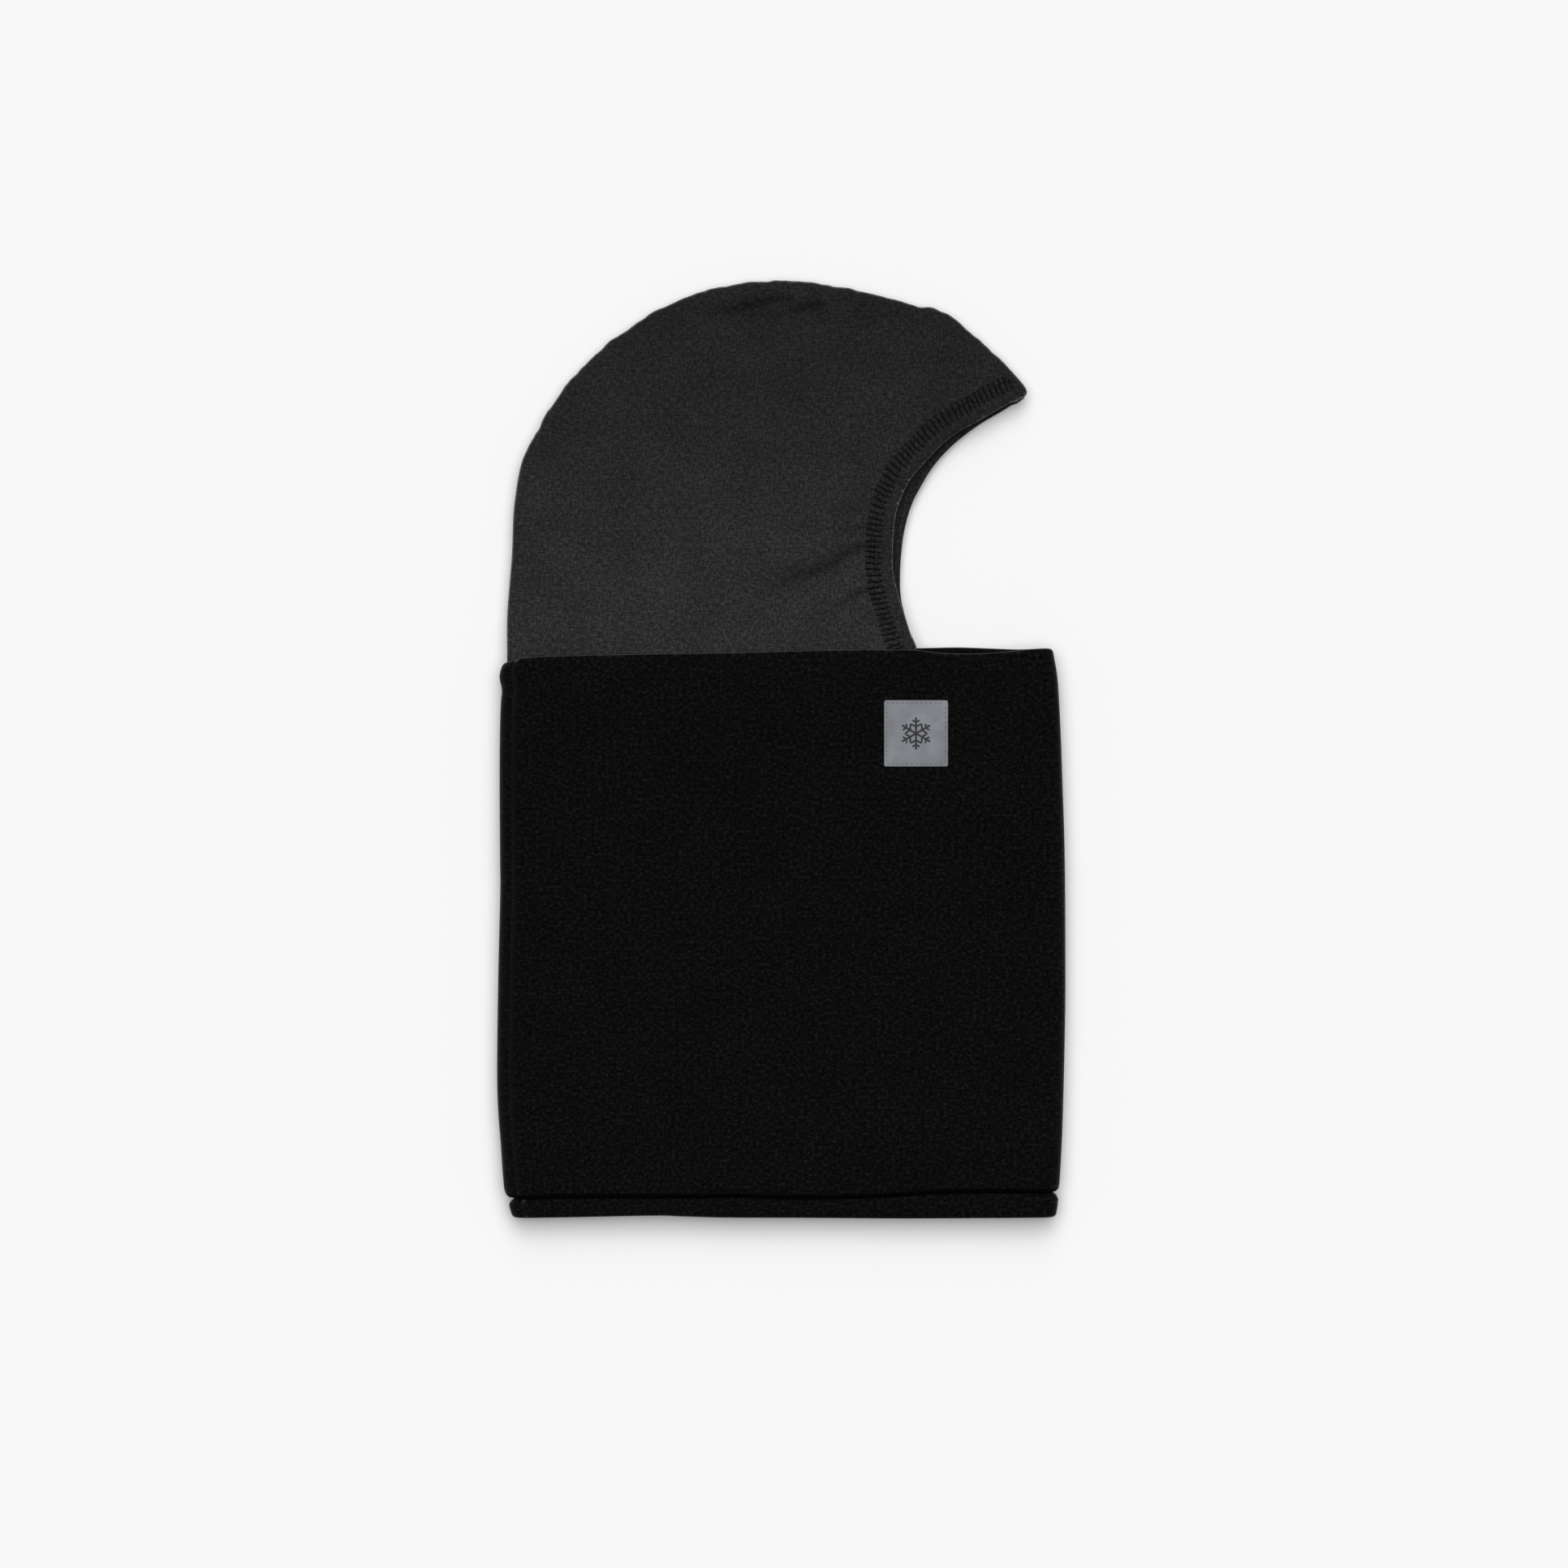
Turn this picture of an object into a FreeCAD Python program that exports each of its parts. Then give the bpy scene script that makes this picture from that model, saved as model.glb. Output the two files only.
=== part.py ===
"""Balaclava lying flat on its side: a two-panel knit hood sewn into a fleece neck tube.

Row frame, in millimetres: +X is where the wearer faces, +Y runs from the neck to the crown and +Z is up from
the surface it lies on. The origin is the middle of the bounding box, at the surface. The side that faces up is
the wearer's right, so each hood piece on top is a right one and each piece underneath is a left one.
"""

import FreeCAD
import Part
import Sketcher
import math
import os

from FreeCAD import Placement, Rotation, Vector

# Driving dimensions: alias, value, what it is.
SIZES = [
    ("tube_width", 263.0, "neck tube, flat width"),
    ("tube_top", 46.0, "Y of the tube's free top edge"),
    ("tube_length", 251.5, "top edge to the tuck above the bottom band"),
    ("tube_lay", 16.0, "height of the tube as it lies"),
    ("fleece", 2.2, "fleece thickness"),
    ("facing_depth", 15.0, "turned-in top facing, along Y"),
    ("facing_cloth", 1.7, "facing thickness, pressed"),
    ("facing_drop", 0.4, "facing below the tube's top edge, at its fold"),
    ("ease", 0.1, "gap between two layers of cloth"),
    ("band_width", 254.0, "bottom band, flat width"),
    ("band_depth", 11.6, "bottom band, along Y"),
    ("band_lay", 14.6, "height of the band as it lies"),
    ("band_cloth", 4.2, "band thickness, two layers of fleece"),
    ("tuck_gap", 0.7, "groove between tube and band"),
    ("rim_share", 0.45, "radius of the tube's rims, as a share of its cloth"),
    ("band_rim_share", 0.4, "radius of the band's rims, as a share of its cloth"),
    ("knit", 1.1, "hood cloth thickness"),
    ("hood_back", -126.9, "X of the back of the neck"),
    ("hood_depth", 240.7, "back of the neck to the brow tip"),
    ("hood_start", 46.8, "Y where the hood leaves the tube"),
    ("hood_rise", 170.5, "tube edge to the crown"),
    ("hood_foot", 0.6, "underside of the hood above the surface"),
    ("hood_lay", 10.0, "height of the hood as it lies"),
    ("ramp", 20.0, "length over which the hood rises into the tube"),
    ("neck_drop", 0.2, "hood's lower edges below the tube's top edge, at their start"),
    ("neck_depth", 14.0, "hood's lower edges inside the tube, along Y"),
    ("crown_round", 2.0, "outer radius of the crown's fold"),
    ("hem_width", 12.0, "turned hem of the face opening"),
    ("hem_cloth", 0.9, "hem thickness"),
    ("stitch_near", 5.3, "coverstitch, nearer row from the edge"),
    ("stitch_far", 12.1, "coverstitch, further row from the edge"),
    ("stitch_pitch", 2.8, "coverstitch pitch"),
    ("thread", 0.5, "thread diameter"),
    ("blind_length", 2.2, "blind stitch of the facing, along Y"),
    ("joining_length", 2.4, "stitch that joins hood and tube, along X"),
    ("joining_pitch", 5.0, "pitch of that seam"),
    ("tuck_length", 3.0, "stitch in the tuck, along X"),
    ("inside_pitch", 6.0, "pitch of the seams that don't show"),
    ("seam_width", 4.5, "seam allowance inside, across"),
    ("seam_cloth", 1.8, "seam allowance, two layers"),
    ("label_width", 29.7, "label, along X"),
    ("label_length", 30.8, "label, along Y"),
    ("label_cloth", 0.6, "label thickness"),
    ("label_x", 62.2, "X of the label's middle"),
    ("label_y", 7.6, "Y of the label's middle"),
    ("motif_span", 15.0, "snowflake on the label, tip to tip"),
    ("motif_print", 0.08, "print thickness"),
    ("care_width", 18.0, "care label, along Y"),
    ("care_length", 27.0, "care label, along X"),
    ("care_cloth", 0.4, "care label thickness"),
    ("care_drop", 7.0, "care label, how far it takes to come down to the lower wall"),
    ("care_height", 22.0, "care label above the tuck"),
]

# The hood's outline, as shares of hood_depth from the back and of hood_rise from the tube.
CROWN = [
    (0.000, 0.000), (-0.001, 0.090), (0.010, 0.265), (0.027, 0.490), (0.062, 0.605), (0.148, 0.770),
    (0.278, 0.912), (0.444, 0.992), (0.577, 1.000), (0.714, 0.962), (0.818, 0.925), (0.901, 0.852),
    (0.963, 0.767), (1.000, 0.700),
]
FACE_RIGHT = [
    (0.990, 0.693), (0.911, 0.623), (0.840, 0.558), (0.776, 0.460), (0.746, 0.335), (0.743, 0.209),
    (0.758, 0.121), (0.786, 0.000),
]
FACE_LEFT = [
    (0.993, 0.681), (0.911, 0.616), (0.840, 0.530), (0.796, 0.443), (0.768, 0.347), (0.757, 0.224),
    (0.760, 0.116), (0.788, 0.000),
]
OUT = 12.0  # how far a cutting outline runs past the cloth

doc = FreeCAD.newDocument("Balaclava")
nodes = []


def make_sheet():
    """The spreadsheet of driving dimensions, and the same values for the parts that code shapes."""
    sheet = doc.addObject("Spreadsheet::Sheet", "Sizes")
    for row, (alias, value, note) in enumerate(SIZES, start=1):
        sheet.set(f"A{row}", alias)
        sheet.set(f"B{row}", str(value))
        sheet.set(f"C{row}", note)
        sheet.setAlias(f"B{row}", alias)
    doc.recompute()
    return {alias: float(sheet.get(alias)) for alias, _, _ in SIZES}


size = make_sheet()


def node(obj, name):
    """Registers a finished sub-part under the name that its file gets."""
    obj.Label = name
    nodes.append(obj)
    return obj


# ---------------------------------------------------------------- sketches


def body_plane(body, role):
    return next(f for f in body.Origin.OriginFeatures if f.Role == role)


def body_sketch(body, role, name):
    sketch = body.newObject("Sketcher::SketchObject", name)
    sketch.AttachmentSupport = (body_plane(body, role), "")
    sketch.MapMode = "FlatFace"
    return sketch


def constrain(sketch, kind, *where, name=None, value=None):
    """Adds one constraint; value is an expression on the sheet for a named dimension."""
    index = sketch.addConstraint(Sketcher.Constraint(kind, *where))
    if name:
        sketch.renameConstraint(index, name)
        sketch.setExpression(f"Constraints.{name}", value)
    return index


def slot_loop(sketch, name, width, height, lift):
    """A flattened-tube loop: two straight runs and two half rounds. width, height and lift are expressions."""
    first = sketch.GeometryCount
    across, radius = 100.0, 6.0  # a start for the solver, which the named dimensions replace
    top = Part.LineSegment(Vector(-across, 2 * radius), Vector(across, 2 * radius))
    right = Part.ArcOfCircle(Part.Circle(Vector(across, radius), Vector(0, 0, 1), radius), -math.pi / 2, math.pi / 2)
    under = Part.LineSegment(Vector(across, 0), Vector(-across, 0))
    left = Part.ArcOfCircle(Part.Circle(Vector(-across, radius), Vector(0, 0, 1), radius), math.pi / 2, 1.5 * math.pi)
    sketch.addGeometry([top, right, under, left], False)
    start, end, middle = 1, 2, 3
    top, right, under, left = range(first, first + 4)
    constrain(sketch, "Tangent", top, end, right, end)
    constrain(sketch, "Tangent", right, start, under, start)
    constrain(sketch, "Tangent", under, end, left, end)
    constrain(sketch, "Tangent", left, start, top, start)
    constrain(sketch, "Horizontal", under)
    constrain(sketch, "Symmetric", right, middle, left, middle, -2)
    constrain(sketch, "Radius", right, radius, name=f"{name}_round", value=f"({height}) / 2")
    constrain(sketch, "DistanceX", left, middle, right, middle, 2 * across, name=f"{name}_across",
              value=f"({width}) - ({height})")
    constrain(sketch, "DistanceY", -1, 1, right, middle, radius, name=f"{name}_level",
              value=f"({height}) / 2 + ({lift})")


def box_loop(sketch, name, width, height, inset="0"):
    """A rectangle centred on the sketch's origin. width, height and inset are expressions."""
    first = sketch.GeometryCount
    x, y = 10.0, 10.0  # a start for the solver
    corners = [Vector(-x, -y), Vector(x, -y), Vector(x, y), Vector(-x, y)]
    sketch.addGeometry([Part.LineSegment(a, b) for a, b in zip(corners, corners[1:] + corners[:1])], False)
    for i in range(4):
        constrain(sketch, "Coincident", first + i, 2, first + (i + 1) % 4, 1)
    for i, kind in enumerate(("Horizontal", "Vertical", "Horizontal", "Vertical")):
        constrain(sketch, kind, first + i)
    constrain(sketch, "Symmetric", first, 1, first + 1, 2, -1, 1)
    constrain(sketch, "DistanceX", first, 1, first, 2, 2 * x, name=f"{name}_width",
              value=f"({width}) - 2 * ({inset})")
    constrain(sketch, "DistanceY", first + 1, 1, first + 1, 2, 2 * y, name=f"{name}_height",
              value=f"({height}) - 2 * ({inset})")


def pad(body, sketch, length, name="Pad"):
    feature = body.newObject("PartDesign::Pad", name)
    feature.Profile = sketch
    feature.setExpression("Length", length)
    sketch.Visibility = False
    return feature


# ---------------------------------------------------------------- neck tube


def flat_tube(name, start, depth, width, height, lift, wall):
    """A tube of cloth lying flat, open at both ends: it runs from start towards -Y."""
    body = doc.addObject("PartDesign::Body", name)
    sketch = body_sketch(body, "XZ_Plane", f"{name}_section")
    slot_loop(sketch, "outer", width, height, lift)
    slot_loop(sketch, "inner", f"{width} - 2 * ({wall})", f"{height} - 2 * ({wall})", f"{lift} + {wall}")
    pad(body, sketch, depth)
    body.setExpression("Placement.Base.y", start)
    return node(body, name)


def round_rims(body, radius):
    """Fillets the outer edge of both ends, as cloth turned over on itself has."""
    doc.recompute()
    cloth = body.Tip
    shape = cloth.Shape
    low, high = shape.BoundBox.YMin, shape.BoundBox.YMax
    rims = []
    for i, edge in enumerate(shape.Edges, start=1):
        box = edge.BoundBox
        level = abs(box.YMin - low) < 1e-3 and abs(box.YMax - low) < 1e-3
        level = level or (abs(box.YMin - high) < 1e-3 and abs(box.YMax - high) < 1e-3)
        if level:
            rims.append(f"Edge{i}")
    fillet = body.newObject("PartDesign::Fillet", "Rims")
    fillet.Base = (cloth, rims)
    fillet.setExpression("Radius", radius)
    return fillet


def make_tube():
    tube = flat_tube("gaiter_tube", "Sizes.tube_top", "Sizes.tube_length", "Sizes.tube_width",
                     "Sizes.tube_lay", "0", "Sizes.fleece")
    round_rims(tube, "Sizes.fleece * Sizes.rim_share")
    inner = "Sizes.fleece + Sizes.ease"
    flat_tube("gaiter_top_facing", "Sizes.tube_top - Sizes.facing_drop", "Sizes.facing_depth",
              f"Sizes.tube_width - 2 * ({inner})", f"Sizes.tube_lay - 2 * ({inner})", inner, "Sizes.facing_cloth")
    band = flat_tube("gaiter_bottom_band", "Sizes.tube_top - Sizes.tube_length - Sizes.tuck_gap", "Sizes.band_depth",
                     "Sizes.band_width", "Sizes.band_lay", "0", "Sizes.band_cloth")
    round_rims(band, "Sizes.band_cloth * Sizes.band_rim_share")


make_tube()


# ---------------------------------------------------------------- shapes made in code


def hood_point(share):
    """A point of the outline tables, in the row frame."""
    x = size["hood_back"] + share[0] * size["hood_depth"]
    return Vector(x, size["hood_start"] + share[1] * size["hood_rise"])


def spline(points):
    curve = Part.BSplineCurve()
    curve.interpolate(points)
    return curve


def inset(points, distance):
    """The same curve moved sideways: distance is to the right of its run."""
    curve = spline(points)
    moved = []
    for p in points:
        along = curve.tangent(curve.parameter(p))[0]
        moved.append(p + Vector(along.y, -along.x) * distance)
    return moved


CROWN_MM = [hood_point(s) for s in CROWN]
FACES_MM = {"right": [hood_point(s) for s in FACE_RIGHT], "left": [hood_point(s) for s in FACE_LEFT]}
NECK_OUTSIDE = size["fleece"] + size["facing_cloth"] + 2 * size["ease"]  # tube surface to the hood's own surface


def outline_sketch(name, curves):
    """A free sketch on XY whose closed outline is splines and straight runs, in order."""
    sketch = doc.addObject("Sketcher::SketchObject", name)
    for points in curves:
        shape = Part.LineSegment(*points) if len(points) == 2 else spline(points)
        sketch.addGeometry(shape, False)
    count = len(curves)
    for i in range(count):
        constrain(sketch, "Coincident", i, 2, (i + 1) % count, 1)
    return sketch


def chain(*curves):
    """The curves with a straight run wherever one doesn't start at the last one's end."""
    joined = []
    for i, points in enumerate(curves):
        joined.append(points)
        after = curves[(i + 1) % len(curves)][0]
        if points[-1].distanceToPoint(after) > 1e-6:
            joined.append([points[-1], after])
    return joined


def extrude(name, sketch, low, high):
    """The sketch made solid between two levels of Z."""
    solid = doc.addObject("Part::Extrusion", name)
    solid.Base = sketch
    solid.DirMode = "Custom"
    solid.Dir = Vector(0, 0, 1)
    solid.LengthFwd = high - low
    solid.Solid = True
    solid.Placement = Placement(Vector(0, 0, low), Rotation())
    sketch.Visibility = False
    return solid


def side_slab(name, profile):
    """A closed profile of (y, z) points, swept along the whole width: it gives cloth its height as it lies."""
    half = size["tube_width"]
    wire = Part.makePolygon([Vector(-half, y, z) for y, z in profile] + [Vector(-half, *profile[0])])
    slab = doc.addObject("Part::Feature", name)
    slab.Shape = Part.Face(wire).extrude(Vector(2 * half, 0, 0))
    return slab


def hood_levels(side, depth=0.0, before=OUT):
    """(y, z) points of a hood panel's surface from the tube to past the crown, depth below its outer face."""
    top = size["tube_lay"] - NECK_OUTSIDE
    levels = {
        "right": (top - depth, size["hood_foot"] + size["hood_lay"] - depth),
        "left": (NECK_OUTSIDE + depth, size["hood_foot"] + depth),
        "middle": (size["tube_lay"] / 2, size["hood_foot"] + size["hood_lay"] / 2),
    }
    near, far = levels[side]
    start = size["hood_start"]
    ramp_end = start + size["ramp"]
    return [(start - before, near), (start, near), (ramp_end, far), (start + size["hood_rise"] + OUT, far)]


def level_at(y, side, depth=0.0):
    """Z of a hood surface at one y."""
    points = hood_levels(side, depth)
    for (y0, z0), (y1, z1) in zip(points, points[1:]):
        if y <= y1:
            return z0 + (z1 - z0) * max(0.0, y - y0) / (y1 - y0)
    return points[-1][1]


def shift(points, dz):
    return [(y, z + dz) for y, z in points]


def common(name, *parts):
    solid = doc.addObject("Part::MultiCommon", name)
    solid.Shapes = list(parts)
    return solid


def cut(name, base, tool):
    solid = doc.addObject("Part::Cut", name)
    solid.Base = base
    solid.Tool = tool
    return solid


# ---------------------------------------------------------------- hood panels


def crown_edges(solid, side):
    """Numbers of the long edges where the crown's wall meets the panel's face, above the ramp."""
    curve = spline(CROWN_MM).toShape()
    found = []
    for i, edge in enumerate(solid.Shape.Edges, start=1):
        middle = edge.valueAt((edge.FirstParameter + edge.LastParameter) / 2)
        flat = Part.Vertex(Vector(middle.x, middle.y, 0))
        on_face = abs(middle.z - level_at(middle.y, side)) < 0.02
        upright = abs(edge.tangentAt(edge.FirstParameter).z) > 0.9
        above_ramp = middle.y > size["hood_start"] + size["ramp"]
        if on_face and above_ramp and not upright and curve.distToShape(flat)[0] < 0.05:
            found.append(i)
    return found


def fold(name, solid, side):
    doc.recompute()
    radius = size["crown_round"]
    fillet = doc.addObject("Part::Fillet", name)
    fillet.Base = solid
    fillet.Edges = [(i, radius, radius) for i in crown_edges(solid, side)]
    return fillet


def within_crown(name, distance):
    """Everything inside the crown's curve by that distance, and past the face and neck openings."""
    inside = inset(CROWN_MM, distance)
    start = inside[0] - Vector(0, OUT)
    end = inside[-1] + Vector(OUT, -OUT)
    corner = Vector(end.x, start.y)
    line = outline_sketch(f"{name}_outline", chain(inside, [end, corner], [start, inside[0]]))
    return extrude(name, line, -OUT, size["tube_lay"] + OUT)


def hood_panel(side):
    """One half of the hood: a shallow dish whose rim is half of the crown's fold, open at face and neck."""
    name = f"hood_{side}_panel"
    tall = size["tube_lay"] + OUT
    face = FACES_MM[side]
    outer_line = outline_sketch(f"{name}_outline", chain(CROWN_MM, face))
    outer_flat = extrude(f"{name}_flat", outer_line, -OUT, tall)
    middle = hood_levels("middle")
    outer_slab = side_slab(f"{name}_height", hood_levels(side) + middle[::-1])
    outer = fold(f"{name}_outside", common(f"{name}_block", outer_flat, outer_slab), side)

    inner_flat = within_crown(f"{name}_inset", size["knit"])
    away = -1.0 if side == "right" else 1.0
    inner_slab = side_slab(f"{name}_inset_height", hood_levels(side, size["knit"]) + shift(middle, away)[::-1])
    hollow = common(f"{name}_hollow", inner_flat, inner_slab)
    node(cut(name, outer, hollow), name)


for side in ("right", "left"):
    hood_panel(side)


def face_hem(side):
    """The cloth turned in along the face opening, flat against the inside of its panel."""
    name = f"face_hem_{side}"
    face = FACES_MM[side]
    strip = outline_sketch(f"{name}_outline", chain(face, inset(face, size["hem_width"])[::-1]))
    strip_flat = extrude(f"{name}_flat", strip, -OUT, size["tube_lay"] + OUT)
    near = size["knit"] + size["ease"]
    layer = hood_levels(side, near, 0.0) + hood_levels(side, near + size["hem_cloth"], 0.0)[::-1]
    inside = within_crown(f"{name}_inside", size["crown_round"] + size["knit"])
    node(common(name, strip_flat, side_slab(f"{name}_height", layer), inside), name)


def seam_line(distance, count=40):
    """Points along the crown's curve moved inwards, from above the ramp to just short of the brow."""
    moved = inset(CROWN_MM, distance)
    curve = spline(moved)
    first, last = curve.parameter(moved[2]), curve.parameter(moved[-2])
    return [curve.value(first + (last - first) * i / count) for i in range(count + 1)]


def crown_seam():
    """The two panels' joined edges, which lie inside along the crown."""
    near = size["knit"] + 2 * size["ease"]
    far = near + size["seam_width"]
    outline = outline_sketch("crown_seam_outline", chain(seam_line(near), seam_line(far)[::-1]))
    middle = level_at(hood_point(CROWN[2]).y, "middle")
    half = size["seam_cloth"] / 2
    node(extrude("crown_seam_allowance", outline, middle - half, middle + half), "crown_seam_allowance")
    return seam_line(far + size["thread"] / 2 + size["ease"]), middle


for side in ("right", "left"):
    face_hem(side)
overlock_run, overlock_level = crown_seam()


# ---------------------------------------------------------------- hood edges inside the tube


def neck_edge(side):
    """A panel's lower edge, which goes on inside the tube and is sewn to the top facing."""
    name = f"hood_{side}_neck_edge"
    up = 1 if side == "right" else -1
    body = doc.addObject("PartDesign::Body", name)
    sketch = body_sketch(body, "XZ_Plane", f"{name}_section")
    mid, radius = size["tube_lay"] / 2, size["tube_lay"] / 2 - NECK_OUTSIDE
    wall = size["knit"]
    centre = Vector(-size["tube_width"] / 2 + size["tube_lay"] / 2, mid)
    front = hood_point(FACE_RIGHT[-1]).x

    def at(dx, dz):
        return centre + Vector(dx, up * dz)

    def quarter(r):
        turn = math.pi / 2 if up > 0 else math.pi
        return Part.ArcOfCircle(Part.Circle(centre, Vector(0, 0, 1), r), turn, turn + math.pi / 2)

    reach = front - centre.x
    sketch.addGeometry([
        Part.LineSegment(at(reach, radius), at(0, radius)),
        quarter(radius),
        Part.LineSegment(at(-radius, 0), at(wall - radius, 0)),
        quarter(radius - wall),
        Part.LineSegment(at(0, radius - wall), at(reach, radius - wall)),
        Part.LineSegment(at(reach, radius - wall), at(reach, radius)),
    ], False)
    outer_face, outer_fold, rim, inner_fold, inner_face, front_edge = range(6)
    face_end, rim_end = (1, 2) if up > 0 else (2, 1)
    constrain(sketch, "Tangent", outer_face, 2, outer_fold, face_end)
    constrain(sketch, "Coincident", outer_fold, rim_end, rim, 1)
    constrain(sketch, "Coincident", rim, 2, inner_fold, rim_end)
    constrain(sketch, "Tangent", inner_fold, face_end, inner_face, 1)
    constrain(sketch, "Coincident", inner_face, 2, front_edge, 1)
    constrain(sketch, "Coincident", front_edge, 2, outer_face, 1)
    constrain(sketch, "Coincident", outer_fold, 3, inner_fold, 3)
    constrain(sketch, "Horizontal", outer_face)
    constrain(sketch, "Horizontal", rim)
    constrain(sketch, "Vertical", front_edge)
    constrain(sketch, "PointOnObject", outer_fold, 3, rim)
    inner_lay = "Sizes.tube_lay / 2 - Sizes.fleece - Sizes.facing_cloth - 2 * Sizes.ease"
    front_share = FACE_RIGHT[-1][0]
    constrain(sketch, "Radius", outer_fold, radius, name="fold", value=inner_lay)
    constrain(sketch, "Radius", inner_fold, radius - wall, name="inner_fold", value=f"{inner_lay} - Sizes.knit")
    constrain(sketch, "DistanceX", outer_fold, 3, -1, 1, -centre.x, name="back",
              value="(Sizes.tube_width - Sizes.tube_lay) / 2")
    constrain(sketch, "DistanceY", -1, 1, outer_fold, 3, mid, name="level", value="Sizes.tube_lay / 2")
    constrain(sketch, "DistanceX", outer_fold, 3, front_edge, 1, reach, name="reach",
              value=f"Sizes.hood_back + {front_share} * Sizes.hood_depth + (Sizes.tube_width - Sizes.tube_lay) / 2")
    pad(body, sketch, "Sizes.neck_depth")
    body.setExpression("Placement.Base.y", "Sizes.tube_top - Sizes.neck_drop")
    node(body, name)


for side in ("right", "left"):
    neck_edge(side)


# ---------------------------------------------------------------- back seam of the tube


def back_seam():
    """The tube's one seam, at the back of the neck: its allowance lies inside the fold."""
    box = doc.addObject("Part::Box", "gaiter_seam_allowance")
    box.setExpression("Length", "Sizes.seam_width")
    box.setExpression("Width", "Sizes.tube_length - Sizes.facing_depth - 4")
    box.setExpression("Height", "Sizes.seam_cloth")
    box.setExpression("Placement.Base.x", "-Sizes.tube_width / 2 + Sizes.fleece + 2 * Sizes.ease")
    box.setExpression("Placement.Base.y", "Sizes.tube_top - Sizes.tube_length + 1")
    box.setExpression("Placement.Base.z", "(Sizes.tube_lay - Sizes.seam_cloth) / 2")
    node(box, "gaiter_seam_allowance")


back_seam()


# ---------------------------------------------------------------- labels


def make_label():
    patch = doc.addObject("PartDesign::Body", "label_patch")
    sketch = body_sketch(patch, "XY_Plane", "label_outline")
    box_loop(sketch, "label", "Sizes.label_width", "Sizes.label_length")
    pad(patch, sketch, "Sizes.label_cloth")
    place_on_label(patch, "Sizes.tube_lay")
    node(patch, "label_patch")

    motif = doc.addObject("PartDesign::Body", "label_motif")
    sketch = body_sketch(motif, "XY_Plane", "motif_arm")
    arm = snow_arm()
    sketch.addGeometry([Part.LineSegment(a, b) for a, b in zip(arm, arm[1:] + arm[:1])], False)
    for i in range(len(arm)):
        constrain(sketch, "Coincident", i, 2, (i + 1) % len(arm), 1)
    first = pad(motif, sketch, "Sizes.motif_print")
    doc.recompute()
    around = motif.newObject("PartDesign::PolarPattern", "Arms")
    around.Originals = [first]
    around.Axis = (body_plane(motif, "Z_Axis"), [""])
    around.Angle = 360
    around.Occurrences = 6
    motif.Tip = around
    place_on_label(motif, "Sizes.tube_lay + Sizes.label_cloth")
    node(motif, "label_motif")


def place_on_label(body, level):
    body.setExpression("Placement.Base.x", "Sizes.label_x")
    body.setExpression("Placement.Base.y", "Sizes.label_y")
    body.setExpression("Placement.Base.z", level)


def snow_arm():
    """The outline of one snowflake arm along +Y, with two barbs at 60 degrees on each side."""
    reach = size["motif_span"] / 2
    half = reach * 0.06
    bar = reach * 0.11
    out, up = math.sin(math.radians(60)), math.cos(math.radians(60))
    side = [Vector(half, 0)]
    for start, length in ((0.38, 0.34), (0.66, 0.22)):
        y, run = start * reach, length * reach
        side.append(Vector(half, y))
        side.append(Vector(half + run * out, y + run * up))
        side.append(Vector(half + run * out - bar * up, y + run * up + bar * out))
        side.append(Vector(half, y + bar / out))
    side.append(Vector(half, reach))
    return side + [Vector(-p.x, p.y) for p in reversed(side)]


def care_label():
    """A folded satin label caught in the back seam, hanging down to the lower wall inside."""
    body = doc.addObject("PartDesign::Body", "care_label")
    sketch = body_sketch(body, "XZ_Plane", "care_label_side")
    start = -size["tube_width"] / 2 + size["fleece"] + 2 * size["ease"] + size["seam_width"] + 2 * size["thread"]
    floor, cloth, drop = size["fleece"] + size["ease"], size["care_cloth"], size["care_drop"]
    middle = size["tube_lay"] / 2
    lower = [Vector(start, middle), Vector(start + drop, floor), Vector(start + size["care_length"], floor)]
    strip = lower + [p + Vector(0, cloth) for p in reversed(lower)]
    sketch.addGeometry([Part.LineSegment(a, b) for a, b in zip(strip, strip[1:] + strip[:1])], False)
    for i in range(len(strip)):
        constrain(sketch, "Coincident", i, 2, (i + 1) % len(strip), 1)
    pad(body, sketch, "Sizes.care_width")
    tuck = "Sizes.tube_top - Sizes.tube_length"
    body.setExpression("Placement.Base.y", f"{tuck} + Sizes.care_height + Sizes.care_width")
    node(body, "care_label")


make_label()
care_label()


# ---------------------------------------------------------------- stitching


def thread_run(a, b, thickness=None):
    """One straight length of thread between two points."""
    along = b - a
    return Part.makeCylinder((thickness or size["thread"]) / 2, along.Length, a, along)


def stitching(name, runs):
    """A group of separate thread runs in one node."""
    group = doc.addObject("Part::Feature", name)
    group.Shape = Part.makeCompound([thread_run(*run) for run in runs])
    node(group, name)


def steps(first, last, pitch):
    count = int((last - first) / pitch)
    return [first + (last - first) * i / count for i in range(count + 1)]


def stations(points, pitch):
    """(point, direction into the cloth) at even steps along a curve."""
    curve = spline(points)
    edge = curve.toShape()
    found = []
    for p in edge.discretize(Number=int(edge.Length / pitch) + 1):
        along = curve.tangent(curve.parameter(p))[0]
        found.append((p, Vector(along.y, -along.x)))
    return found


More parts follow.
